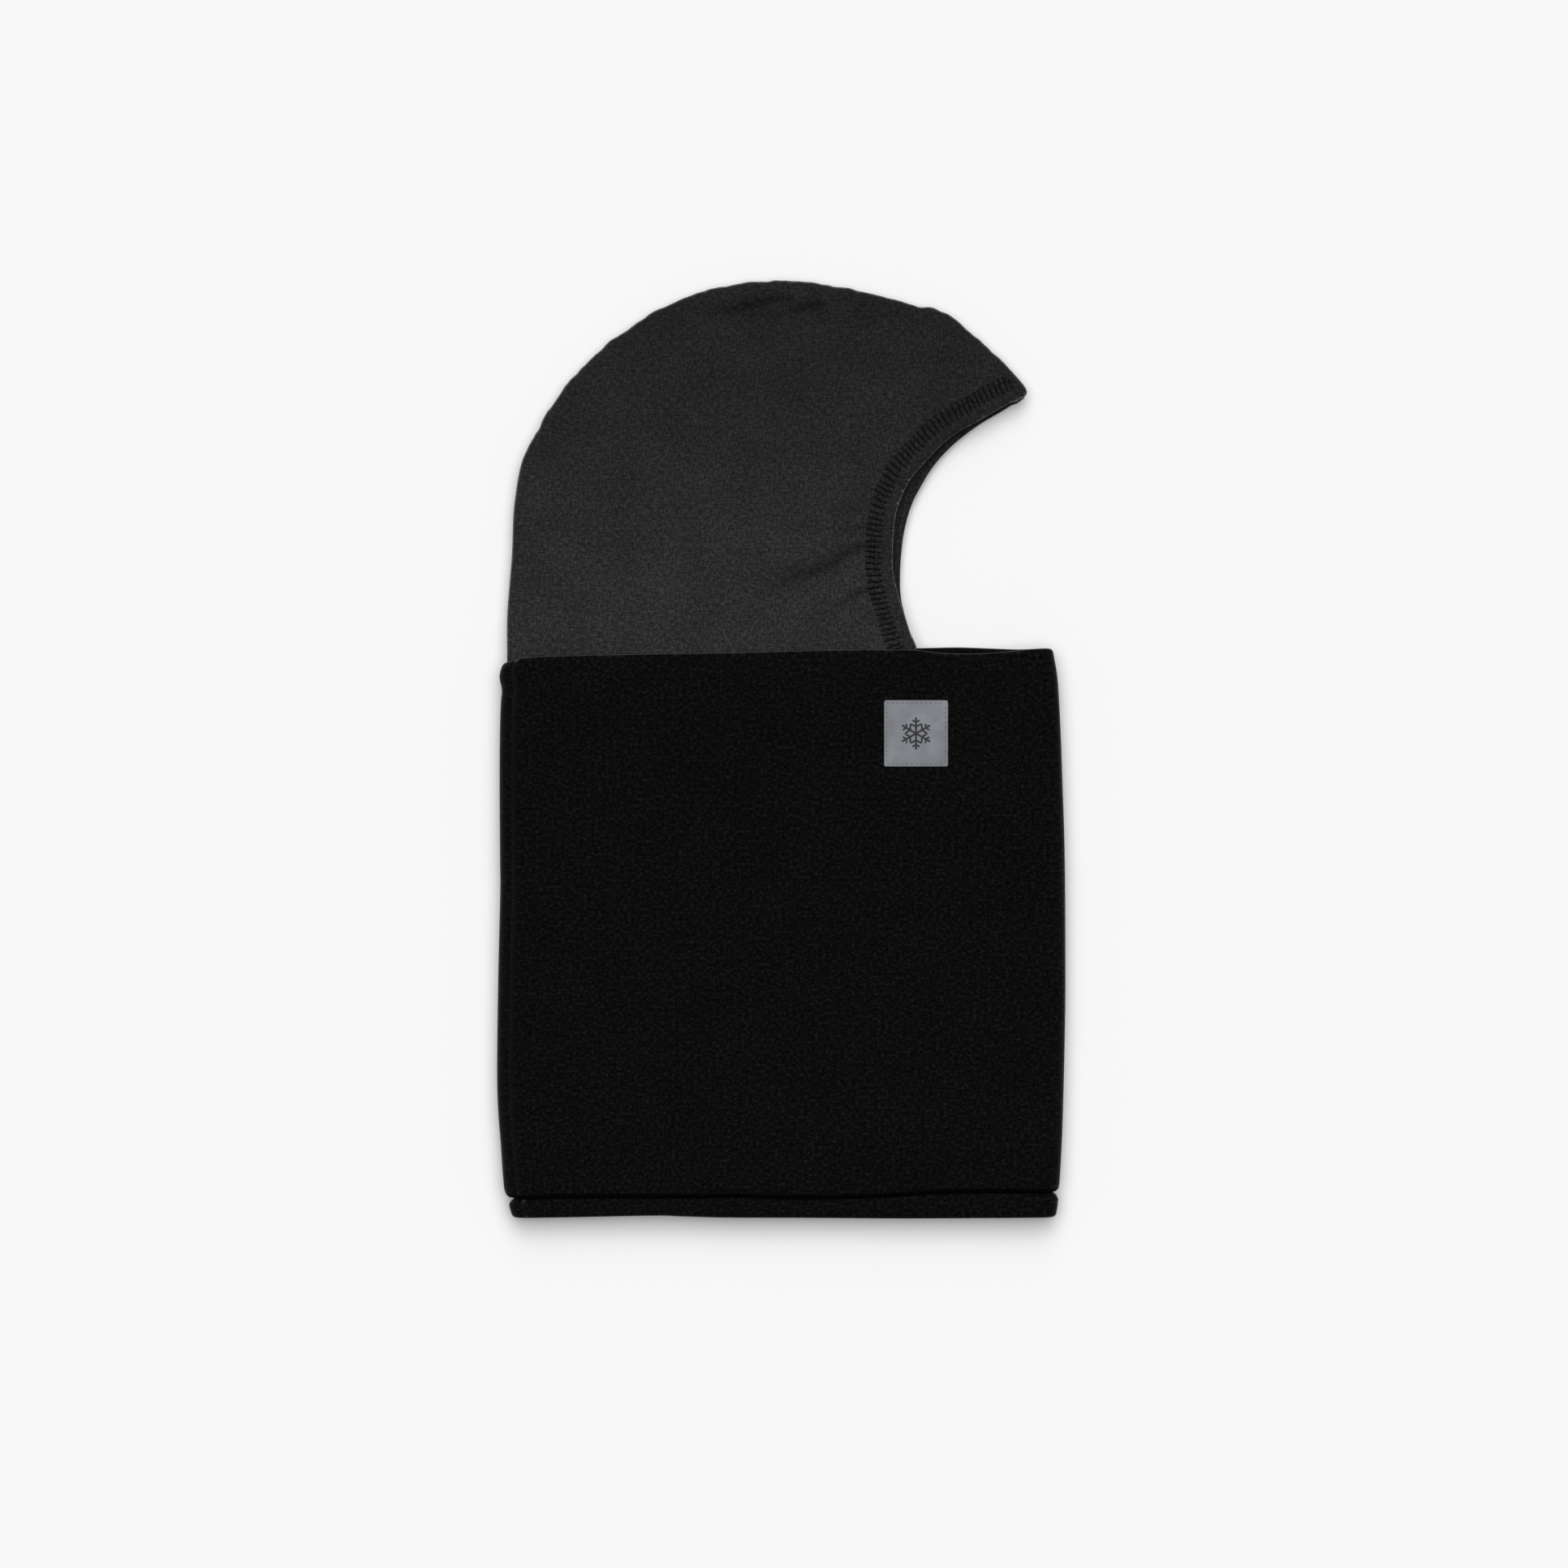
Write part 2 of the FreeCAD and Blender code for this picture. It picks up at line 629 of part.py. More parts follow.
def coverstitch(side):
    """The threads that lie across the hem, on the outside of the face opening."""
    radius = size["thread"] / 2
    proud = radius + size["ease"] / 2
    out = proud if side == "right" else -proud
    crown = spline(CROWN_MM).toShape()
    runs = []
    for p, inward in stations(FACES_MM[side], size["stitch_pitch"]):
        ends = [p + inward * size["stitch_near"], p + inward * size["stitch_far"]]
        clear = crown.distToShape(Part.Vertex(ends[1]))[0] > size["crown_round"] + radius
        if clear and min(e.y for e in ends) > size["hood_start"] + radius:
            runs.append([Vector(e.x, e.y, level_at(e.y, side) + out) for e in ends])
    stitching(f"face_coverstitch_{side}", runs)


def crown_overlock(points, level):
    """The thread that wraps the crown seam's raw edge."""
    half = Vector(0, 0, size["seam_cloth"] / 2)
    middle = Vector(0, 0, level)
    at = [p + middle for p, _ in stations(points, size["inside_pitch"])]
    stitching("crown_seam_overlock", [(p - half, p + half) for p in at])


def tube_stitches():
    """Blind stitches, the seam that joins hood and tube, the tuck's seam and the back seam's overlock."""
    radius, ease = size["thread"] / 2, size["ease"]
    half = size["tube_width"] / 2
    lay, pitch = size["tube_lay"], size["inside_pitch"]
    round_end = lay / 2

    facing_end = size["tube_top"] - size["facing_drop"] - size["facing_depth"]
    wall = size["fleece"] + radius + ease / 2
    runs = [(Vector(x, facing_end - size["blind_length"], z), Vector(x, facing_end - ease, z))
            for x in steps(round_end - half, half - round_end, pitch) for z in (wall, lay - wall)]
    stitching("gaiter_blindstitch", runs)

    joined_y = size["tube_top"] - size["facing_depth"] / 2
    cloth = NECK_OUTSIDE + size["knit"] + radius + ease / 2
    front = hood_point(FACE_RIGHT[-1]).x - 4.0
    runs = [(Vector(x, joined_y, z), Vector(x + size["joining_length"], joined_y, z))
            for x in steps(round_end - half, front, size["joining_pitch"]) for z in (cloth, lay - cloth)]
    stitching("neck_joining_stitch", runs)

    tuck_y = size["tube_top"] - size["tube_length"] - size["tuck_gap"] / 2
    depth = size["band_cloth"] / 2
    end, length = size["band_width"] / 2 - round_end, size["tuck_length"]
    runs = [(Vector(x, tuck_y, z), Vector(x + length, tuck_y, z))
            for x in steps(-end, end - length, pitch) for z in (depth, size["band_lay"] - depth)]
    stitching("gaiter_tuck_stitch", runs)

    edge_x = -half + size["fleece"] + 2 * ease + size["seam_width"] + radius + ease
    seam = size["seam_cloth"] / 2
    runs = [(Vector(edge_x, y, lay / 2 - seam), Vector(edge_x, y, lay / 2 + seam))
            for y in steps(size["tube_top"] - size["tube_length"] + 3, facing_end - 5, pitch)]
    stitching("gaiter_seam_overlock", runs)


def label_stitches(inset_by=1.2, length=1.3, pitch=2.2, thickness=0.3):
    """The running stitch round the label's edge."""
    x, y = size["label_width"] / 2 - inset_by, size["label_length"] / 2 - inset_by
    level = size["tube_lay"] + size["label_cloth"] + thickness / 2
    centre = Vector(size["label_x"], size["label_y"], level)
    runs = []
    for s in steps(-x, x - length, pitch):
        runs += [(centre + Vector(s, e), centre + Vector(s + length, e), thickness) for e in (-y, y)]
    for s in steps(pitch - y, y - pitch - length, pitch):
        runs += [(centre + Vector(e, s), centre + Vector(e, s + length), thickness) for e in (-x, x)]
    stitching("label_stitching", runs)


for side in ("right", "left"):
    coverstitch(side)
crown_overlock(overlock_run, overlock_level)
tube_stitches()
label_stitches()


# ---------------------------------------------------------------- checks and files


def write_parts():
    doc.recompute()
    for obj in doc.Objects:
        if {"Invalid", "Error"} & set(obj.State):
            raise RuntimeError(f"{obj.Label} did not compute: {obj.State}")
    os.makedirs("parts", exist_ok=True)
    for obj in nodes:
        shape = obj.Shape
        if shape.isNull() or not shape.isValid() or not shape.Solids:
            raise RuntimeError(f"{obj.Label} has no valid solid")
        shape.exportStep(f"parts/{obj.Label}.step")
        print(f"{obj.Label}: {len(shape.Solids)} solids, {shape.Volume:.0f} mm3")


write_parts()
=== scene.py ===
# %% [markdown]
# # A winter balaclava, laid flat on its side
#
# A balaclava is a soft hood sewn into a neck tube. This one is cut from two cloths: the hood from a thin
# charcoal knit, the tube from thick black fleece. The lesson builds it as a maker sews it: two hood panels
# that meet along the crown, a turned hem at the face held by a cover stitch, and a tube with a turned-in
# top and a bottom band.

# %% Load the frame
import math

import bpy
import numpy as np
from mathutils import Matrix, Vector, geometry


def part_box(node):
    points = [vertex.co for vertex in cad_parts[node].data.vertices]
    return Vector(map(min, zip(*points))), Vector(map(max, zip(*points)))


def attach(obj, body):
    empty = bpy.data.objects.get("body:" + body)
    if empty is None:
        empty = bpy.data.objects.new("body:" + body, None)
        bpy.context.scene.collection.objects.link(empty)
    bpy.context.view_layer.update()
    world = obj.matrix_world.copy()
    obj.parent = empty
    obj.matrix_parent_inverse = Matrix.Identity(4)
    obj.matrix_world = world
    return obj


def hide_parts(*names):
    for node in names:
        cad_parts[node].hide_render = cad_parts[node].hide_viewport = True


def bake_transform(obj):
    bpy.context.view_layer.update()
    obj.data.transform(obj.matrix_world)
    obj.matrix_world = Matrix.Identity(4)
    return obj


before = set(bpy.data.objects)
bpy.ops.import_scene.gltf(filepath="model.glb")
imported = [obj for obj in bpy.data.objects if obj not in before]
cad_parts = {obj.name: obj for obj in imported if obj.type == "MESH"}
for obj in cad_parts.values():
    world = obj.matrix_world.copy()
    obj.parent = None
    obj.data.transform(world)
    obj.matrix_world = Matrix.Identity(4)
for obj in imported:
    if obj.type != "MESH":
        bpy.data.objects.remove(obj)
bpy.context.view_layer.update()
MM = 0.001

# %% [markdown]
# Places come from the frame, never from a guess. The frame is in metres and cloth is easier to think about
# in millimetres, so each box is read once in millimetres, and a mesh is scaled to metres when it is made.

# %% Sizes from the frame


def box_mm(node):
    """The low and high corners of a node's box, in mm."""
    low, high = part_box(node)
    return Vector(low) / MM, Vector(high) / MM


tube_low, tube_high = box_mm("gaiter_tube")
band_low, band_high = box_mm("gaiter_bottom_band")
facing_low = box_mm("gaiter_top_facing")[0]
hood_low, hood_high = box_mm("hood_right_panel")
under_low = box_mm("hood_left_panel")[0]
neck_low, neck_high = box_mm("hood_right_neck_edge")
under_neck_low = box_mm("hood_left_neck_edge")[0]
label_low, label_high = box_mm("label_patch")
label_mid = (label_low + label_high) / 2

KNIT = 1.0  # hood cloth, mm
FLEECE = 2.0  # tube cloth, mm
SEAM_LEVEL = neck_low.z  # where the two halves of the hood meet, inside the tube
NEAR_TOP = 10.6  # top of the near half where the hood is down on the surface
SEAM_LEVEL_FREE = (under_low.z + NEAR_TOP) / 2  # where the halves meet out there
print(f"tube {tube_high.x - tube_low.x:.0f} mm wide, hood top at {hood_high.y:.0f} mm")

# %% [markdown]
# Cloth edges are drawn as a few points with a smooth curve through them. The Catmull-Rom curve is a good
# choice, because it passes through every point and each point only pulls on its own stretch. It is then cut
# into even steps so that the mesh has even faces.

# %% Curves and gentle unevenness


def even_steps(line, spacing):
    """The same line in steps of about that length."""
    run = np.concatenate([[0], np.cumsum(np.linalg.norm(np.diff(line, axis=0), axis=1))])
    at = np.linspace(0, run[-1], max(2, round(run[-1] / spacing)) + 1)
    return np.stack([np.interp(at, run, line[:, k]) for k in range(line.shape[1])], axis=1)


def smooth_curve(points, spacing):
    """A Catmull-Rom curve through the points, in even steps."""
    p = np.array(points, float)
    p = np.vstack([2 * p[0] - p[1], p, 2 * p[-1] - p[-2]])
    t = np.linspace(0, 1, 30, endpoint=False)[:, None]
    spans = []
    for a, b, c, d in zip(p, p[1:], p[2:], p[3:]):
        bend = (2 * a - 5 * b + 4 * c - d) * t**2 + (3 * b - a - 3 * c + d) * t**3
        spans.append(0.5 * (2 * b + (c - a) * t + bend))
    return even_steps(np.vstack(spans + [p[-2:-1]]), spacing)


def smooth_step(value, start, end):
    """0 before start, 1 past end and a smooth rise between them."""
    t = np.clip((value - start) / (end - start), 0, 1)
    return t * t * (3 - 2 * t)


def through(x, points):
    """A value that passes smoothly through (x, value) points."""
    line = smooth_curve(points, 1.0)
    return np.interp(x, line[:, 0], line[:, 1])


def soft_waves(x, y, size, seed, count=8):
    """Unevenness of about -1 to 1, with dents about size mm apart, the same in every run."""
    rng = np.random.default_rng(seed)
    total = 0
    for _ in range(count):
        angle, phase = rng.uniform(0, math.tau, 2)
        k = math.tau / size * rng.uniform(0.6, 1.4)
        total = total + np.sin((x * math.cos(angle) + y * math.sin(angle)) * k + phase)
    return total / math.sqrt(count) / 1.4


def sideways(line):
    """Unit vectors to the right of a line's run."""
    along = np.gradient(line, axis=0)
    along /= np.linalg.norm(along, axis=1)[:, None]
    return np.stack([along[:, 1], -along[:, 0]], axis=1)


print("a curve of 3 points, cut at 5 mm:", len(smooth_curve([(0, 0), (10, 4), (20, 0)], 5.0)), "points")

# %% [markdown]
# A mesh keeps two places for each corner of the cloth: where it lies, and where it was on the flat cut. The
# second one becomes a UV map, so that the knit and the pile follow the cloth round each fold and don't
# slide off it. A thin sheet gets its thickness from the Solidify modifier, applied, so that the finished
# mesh is closed.

# %% Making cloth
WELD_GAP = 0.02  # points closer than this are one


def cloth_mesh(name, points, faces, flat, thickness=0.0):
    """A mesh in metres from points in mm, with the flat cut as its UV map, thickened and shaded smooth."""
    mesh = bpy.data.meshes.new(name)
    mesh.from_pydata((np.array(points) * MM).tolist(), [], [tuple(int(i) for i in f) for f in faces])
    cut = mesh.uv_layers.new(name="Cut")
    corners = np.zeros(len(mesh.loops), np.int32)
    mesh.loops.foreach_get("vertex_index", corners)
    cut.data.foreach_set("uv", (np.array(flat)[corners] * MM).astype(np.float32).ravel())
    piece = bpy.data.objects.new(name, mesh)
    bpy.context.scene.collection.objects.link(piece)
    weld = piece.modifiers.new("Weld", "WELD")
    weld.merge_threshold = WELD_GAP * MM
    if thickness:
        solid = piece.modifiers.new("Thickness", "SOLIDIFY")
        solid.thickness = thickness * MM
        solid.offset = 0
        solid.use_quality_normals = True
    bake_modifiers(piece)
    piece.data.shade_smooth()
    return piece


def bake_modifiers(piece):
    """Applies what the modifiers make, so that the mesh is final."""
    shown = piece.evaluated_get(bpy.context.evaluated_depsgraph_get())
    finished = bpy.data.meshes.new_from_object(shown)
    piece.modifiers.clear()
    piece.data = finished
    finished.name = piece.name


def strip_faces(rows, columns, start=0, closed=False):
    """Quads between rows of points that are numbered row by row from start."""
    faces = []
    for r in range(rows - 1):
        for c in range(columns if closed else columns - 1):
            a, b = start + r * columns + c, start + r * columns + (c + 1) % columns
            faces.append((a, b, b + columns, a + columns))
    return faces


# %% Making thread


def tubes(name, runs, radius, sides=6):
    """Thread: a round, capped tube along each run of points, all in one mesh."""
    points, faces, flat = [], [], []
    turn = np.linspace(0, math.tau, sides, endpoint=False)
    for run in runs:
        run = np.array(run, float)
        along = np.gradient(run, axis=0)
        along /= np.linalg.norm(along, axis=1)[:, None]
        across = np.cross(along, (0.13, 0.21, 1.0))  # a direction that no thread runs in
        across /= np.linalg.norm(across, axis=1)[:, None]
        up = np.cross(across, along)
        start = len(points)
        for i, p in enumerate(run):
            for t in turn:
                points.append(p + radius * (math.cos(t) * across[i] + math.sin(t) * up[i]))
                flat.append((p[0] + t * radius, p[1]))
        faces += strip_faces(len(run), sides, start, closed=True)
        faces.append(tuple(start + k for k in reversed(range(sides))))
        faces.append(tuple(start + (len(run) - 1) * sides + k for k in range(sides)))
    return cloth_mesh(name, points, faces, flat)


print("cloth and thread helpers ready")

# %% [markdown]
# ## The hood
#
# Each half of the hood is one panel. Its outside edge is the crown, from the nape over the top of the head
# to the brow, and its inside edge is the face opening. Both are lists of points in mm from the panel's
# lower back corner. The panel's lower edge goes on inside the neck tube. The far half shows past the near
# one by a few mm at the face.

# %% The hood's outline
INSIDE_TUBE = neck_low.y - hood_low.y  # how far the panels go on below the tube's edge, as a negative number

CROWN = [
    (0.3, INSIDE_TUBE), (0.1, 0), (0.1, 15), (1.2, 30), (2.4, 45), (3.4, 67), (7.4, 88), (15, 103),
    (24.4, 118), (36, 131.6), (51, 144.9), (70, 157), (92, 166.2), (113, 169.9), (130, 170.6),
    (156, 167.6), (182, 161.2), (192, 158.4), (197, 158.1), (205, 154.6), (216, 145.8), (227.6, 135.2),
    (236, 126.4), (239.9, 121.6), (240.9, 118.8),
]
TIP = (239.6, 117.2)
FACE_NEAR = [
    TIP, (228.3, 111.3), (219.5, 106.1), (209.9, 101), (202.4, 95.3), (194.7, 87.5), (187, 78.4),
    (182.7, 69.8), (180.2, 62), (179, 50), (179, 36), (182, 23), (186.5, 8.5), (189.6, 0),
    (190.6, INSIDE_TUBE),
]
FACE_FAR = [
    TIP, (230.4, 110.9), (220, 104.8), (209.9, 97.4), (202.4, 90.4), (196.6, 83.3), (191.9, 75.5),
    (188, 67.9), (185.4, 60), (183.4, 50), (182.3, 36), (182.8, 23), (186.7, 8.5), (190, 0),
    (191, INSIDE_TUBE),
]
CORNER = np.array((hood_low.x, hood_low.y))

crown_line = smooth_curve(CROWN + [TIP], 1.4) + CORNER
print("crown", len(crown_line), "steps")

# %% The seam gathers the crown
GATHER_FROM, GATHER_TO = (55, 90), (22, 12)  # steps past the nape, and steps before the brow
SEAM_PULL = 0.3  # how far the seam draws the whole edge in, mm

steps = np.arange(len(crown_line))
gather = soft_waves(steps, steps * 0, 11, 31) * 0.4 + soft_waves(steps, steps * 0, 4.5, 32) * 0.16
gather *= smooth_step(steps, *GATHER_FROM) * (1 - smooth_step(steps, *(len(steps) - n for n in GATHER_TO)))
crown_line += sideways(crown_line) * (gather[:, None] - SEAM_PULL)
face_lines = {"right": smooth_curve(FACE_NEAR, 1.2) + CORNER, "left": smooth_curve(FACE_FAR, 1.2) + CORNER}
print("gathered by up to", round(float(np.abs(gather).max()), 2), "mm")
print("face", len(face_lines["right"]), "steps")

# %% [markdown]
# Soft knit never lies quite flat. The face hem was stretched as it was sewn, so it draws the cloth in and
# small folds run back from it. Two more cross the crown, and a few shallow ones lie between. A real fold of
# this kind leans over: it drops steeply on its neck side and comes back up gently on the other. It could be
# pushed in with a cloth simulation, but a height for each point keeps every fold in its place. A fold is
# written as (where it starts, where it ends, half width, depth). The cover stitch presses a shallow channel
# into the cloth and puckers it once per stitch.

# %% How the knit lies
HEM_EDGE = 0.55  # radius of the turned edge, to the middle of the cloth
STITCH_PITCH = 2.4  # from stitch to stitch along the hem
SLANT = 0.03  # of a stitch for each mm across
EASE = 0.15  # air between layers that lie on each other
UPPER_LEVEL = 10.0  # the middle of the upper panel, away from the tube
ROLL = 4.2  # how far in from the crown the cloth starts to turn under
DEEPEST = 5.0  # what a fold can drop before it would meet the layer below

FOLDS = [
    ((170, 49), (112, 23), 3.6, 5.8), ((170, 29), (139, 14), 2.9, 4.0), ((170, 57), (147, 52), 2.2, 2.8),
    ((168, 84), (148, 98), 2.2, 1.1), ((168, 66), (146, 62), 2.4, 0.9), ((169, 38), (152, 33), 1.5, 0.9),
    ((132, 163.2), (78, 154), 2.6, 3.8), ((146, 160), (104, 152), 3.0, 4.4),
    ((186, 158), (150, 152), 4.0, 1.1), ((20, 102), (70, 128), 8.0, 0.7), ((4, 10), (24, 4), 1.6, 1.1),
]
print(len(FOLDS), "folds")

# %% Distance from a seam line, and the folds


def nearest(points, line):
    """For each point, its distance from a line and how far along the line it is, in mm."""
    run = np.concatenate([[0], np.cumsum(np.linalg.norm(np.diff(line, axis=0), axis=1))])
    gap = np.linalg.norm(points[:, None, :] - line[None, :, :], axis=2)
    i = gap.argmin(axis=1)
    right = sideways(line)
    away = ((points - line[i]) * right[i]).sum(axis=1)
    forward = ((points - line[i]) * np.stack([-right[i, 1], right[i, 0]], axis=1)).sum(axis=1)
    return np.abs(away), run[i] + forward


def fold_depth(x, y):
    """Each fold drops steeply on its neck side, then comes back up gently."""
    total = np.zeros_like(x)
    for (x0, y0), (x1, y1), width, depth in FOLDS:
        dx, dy = x1 - x0, y1 - y0
        long = math.hypot(dx, dy)
        along = ((x - x0) * dx + (y - y0) * dy) / long
        wander = 0.7 * np.sin(along * 0.17 + x0) * width * 0.4
        below = math.copysign(1, dx) * ((x - x0) * dy - (y - y0) * dx) / long + wander
        below = below / (width * (0.75 + 0.5 * np.clip(along / long, 0, 1)))
        strength = smooth_step(along, -3, 5) * (1 - smooth_step(along, 0.4 * long, long))
        drop = smooth_step(below, -1, 1) * (1 - smooth_step(below, 1.2, 6.5))
        total += strength * depth * (0.2 * np.exp(-((below + 2.1) ** 2)) - drop)
    return total / (1 + (total / DEEPEST) ** 4) ** 0.25


whole_panel = np.meshgrid(np.arange(0, 240.0), np.arange(0, 171.0))
print("deepest fold:", fold_depth(*whole_panel).min().round(2), "mm")

# %% How high the knit lies


def stitch_channel(distance, along):
    """The channel that the cover stitch presses in, with a pucker for each stitch."""
    channel = smooth_step(distance, 4.3, 5.6) * (1 - smooth_step(distance, 12.2, 13.6))
    beat = np.cos(math.tau * (along / STITCH_PITCH + SLANT * distance))
    rows = np.exp(-((distance - 11.0) ** 2) / 2.2) + 0.7 * np.exp(-((distance - 6.7) ** 2) / 1.6)
    return -0.5 * channel - 0.35 * np.exp(-((distance - 8.8) ** 2) / 0.7) + 0.75 * beat * rows


def hood_height(side, xy, distance, along):
    """Z of the middle of the cloth, in mm, for one half of the hood."""
    x, y = xy[:, 0] - CORNER[0], xy[:, 1] - CORNER[1]
    down = smooth_step(y, -2, 20)
    dents = soft_waves(x, y, 60, 3) * 0.35 + soft_waves(x, y, 24, 4) * 0.12
    loose = smooth_step(y, 2, 14)
    if side == "left":
        at_neck, on_floor = under_neck_low.z + KNIT / 2 + EASE, under_low.z + KNIT / 2 + EASE
        at_hem = 2.0 * (1 - smooth_step(distance, 3, 32)) * smooth_step(y, 4, 30)
        return at_neck + (on_floor - at_neck) * down + loose * (at_hem + EASE * (dents + 1))
    level = neck_high.z - KNIT / 2 - EASE + (UPPER_LEVEL - neck_high.z + KNIT / 2) * down
    brow = 1.6 * smooth_step(y, 105, 172)
    folds = fold_depth(x, y) * smooth_step(distance, 5, 13)
    return level - brow + loose * (dents + folds) + smooth_step(y, -4, 4) * stitch_channel(distance, along)


def seam_height(xy):
    """Z of the crown seam, which comes down from the tube's edge to lie on the surface."""
    return SEAM_LEVEL + (SEAM_LEVEL_FREE - SEAM_LEVEL) * smooth_step(xy[:, 1] - CORNER[1], -2, 20)


def surface_at(side, xy):
    """Z of the middle of the cloth at points seen from above."""
    distance, along = nearest(xy, face_lines[side])
    return hood_height(side, xy, distance, along)


print("height of the hood at its middle:", surface_at("right", np.array([[0.0, 120.0]])).round(2), "mm")

# %% [markdown]
# The panel's middle is filled with even triangles (a Delaunay mesh over a grid of points), because its
# outline isn't a shape that rows and columns fit. Its crown edge rolls under as half of the fold, row by
# row, down to the seam. Its face edge turns right round on itself and goes back as the inner layer of the
# hem, 12 mm deep.

# %% Filling an outline
GRID = 1.5  # size of the panels' triangles
STITCH_GRID = 0.7  # the same under the cover stitch


def inside_outline(points, outline):
    """Which points are inside a closed outline."""
    x, y = points[:, 0], points[:, 1]
    inside = np.zeros(len(points), bool)
    for (x0, y0), (x1, y1) in zip(outline, np.roll(outline, -1, axis=0)):
        if y0 != y1:
            crosses = (y0 > y) != (y1 > y)
            inside ^= crosses & (x < (x1 - x0) * (y - y0) / (y1 - y0) + x0)
    return inside


def gap_to(points, line):
    """How far each point is from the nearest point of a line."""
    return np.concatenate([np.linalg.norm(part[:, None] - line[None], axis=2).min(axis=1)
                           for part in np.array_split(points, 30)])


def fill_outline(outline, spacing, finer):
    """Points and triangles that fill a closed outline evenly, with finer points where the stitches are."""
    low, high = outline.min(axis=0), outline.max(axis=0)
    rows = np.arange(low[1], high[1], spacing * 0.866)  # the height of an even triangle
    columns = np.arange(low[0], high[0], spacing)
    grid = np.array([(x + (r % 2) * spacing / 2, y) for r, y in enumerate(rows) for x in columns])
    finer = finer[inside_outline(finer, outline)]
    finer = finer[gap_to(finer, outline) > 0.5 * spacing]
    grid = grid[inside_outline(grid, outline)]
    grid = grid[gap_to(grid, outline) > 0.55 * spacing]
    grid = grid[gap_to(grid, finer) > 0.6 * spacing]
    everything = np.vstack([outline, finer, grid])
    rim = list(range(len(outline)))
    made = geometry.delaunay_2d_cdt([Vector(p) for p in everything], [], [rim], 1, 1e-4)
    return np.array([tuple(v) for v in made[0]]), [tuple(f) for f in made[2]]


def stitch_band(side, spacing=STITCH_GRID):
    """Points in rows along the hem, fine enough to hold the pucker of each stitch."""
    line = even_steps(face_lines[side], spacing)
    right = sideways(line)
    return np.vstack([line + right * depth for depth in np.arange(4.2, 13.9, spacing * 1.2)])


print("points under the cover stitch:", len(stitch_band("right")))

# %% Turned edges
ROLL_ROWS = 8  # rows of points from the flat of the panel to the crown seam
FOLD_ROWS = 5  # rows round the turned edge of the hem
HEM_ROWS = (1.5, 3.5, 6.0, 9.0, 12.0)  # rows of the hem's inner layer, mm from its edge
TIP_TURN = 16  # this near the brow's tip, the crown's roll turns to run along the face
LAP_IN, LAP_PAST = 0.3, 0.45  # the last row goes in and past the seam, so that the halves meet without a gap


def crown_roll(side, up):
    """Rows of points from the flat of the panel round to the seam, with their places on the flat cut."""
    edge = crown_line + sideways(crown_line) * KNIT / 2
    inward = sideways(crown_line)
    face = face_lines[side]
    along_face = face[6] - face[0]
    along_face = along_face / np.linalg.norm(along_face)
    to_tip = np.linalg.norm(np.diff(crown_line, axis=0), axis=1)[::-1].cumsum()[::-1]
    turn = 1 - smooth_step(np.append(to_tip, 0), 0, TIP_TURN)
    inward = inward * (1 - turn[:, None]) + along_face * turn[:, None]
    inward /= np.linalg.norm(inward, axis=1)[:, None]
    flat_edge = edge + inward * ROLL
    top = surface_at(side, flat_edge)
    seam = seam_height(edge)
    rows, cuts, normals = [], [], []
    for row in range(ROLL_ROWS + 1):
        angle = math.pi / 2 * row / ROLL_ROWS
        last = row == ROLL_ROWS
        reach = ROLL * (1 - math.sin(angle)) + (LAP_IN if last else 0)
        height = seam + (top - seam) * math.cos(angle) + (LAP_PAST * up if last else 0)
        rows.append(np.column_stack([edge + inward * reach, height]))
        cuts.append(flat_edge - inward * ROLL * angle)
        normals.append(np.column_stack([-inward * math.sin(angle), np.full(len(edge), up * math.cos(angle))]))
    return rows, cuts, normals


def turned_hem(side, border, normals, cuts, outside, up):
    """Rows of points that carry on from a border: round the fold, then back as the inner layer."""
    along = np.gradient(border, axis=0)
    along /= np.linalg.norm(along, axis=1)[:, None]
    out = np.cross(along, normals)
    out /= np.linalg.norm(out, axis=1)[:, None]
    out *= np.sign((out[:, :2] * outside).sum(axis=1))[:, None]
    rows, flats = [border], [cuts]
    for row in range(1, FOLD_ROWS + 1):
        angle = math.pi * row / FOLD_ROWS
        shift = out * HEM_EDGE * math.sin(angle) - normals * HEM_EDGE * (1 - math.cos(angle))
        rows.append(border + shift)
        flats.append(cuts + outside * HEM_EDGE * angle)
    lies_flat = np.abs(normals[:, 2]) > 0.9
    for depth in HEM_ROWS:
        row = border - normals * 2 * HEM_EDGE - out * depth
        row[lies_flat, 2] = surface_at(side, row[lies_flat, :2]) - up * (2 * HEM_EDGE + 0.1)
        rows.append(row)
        flats.append(cuts + outside * (HEM_EDGE * math.pi + depth))
    return rows, flats


print("a hem turns over", FOLD_ROWS, "rows and goes", HEM_ROWS[-1], "mm back")

# %% The hood panels


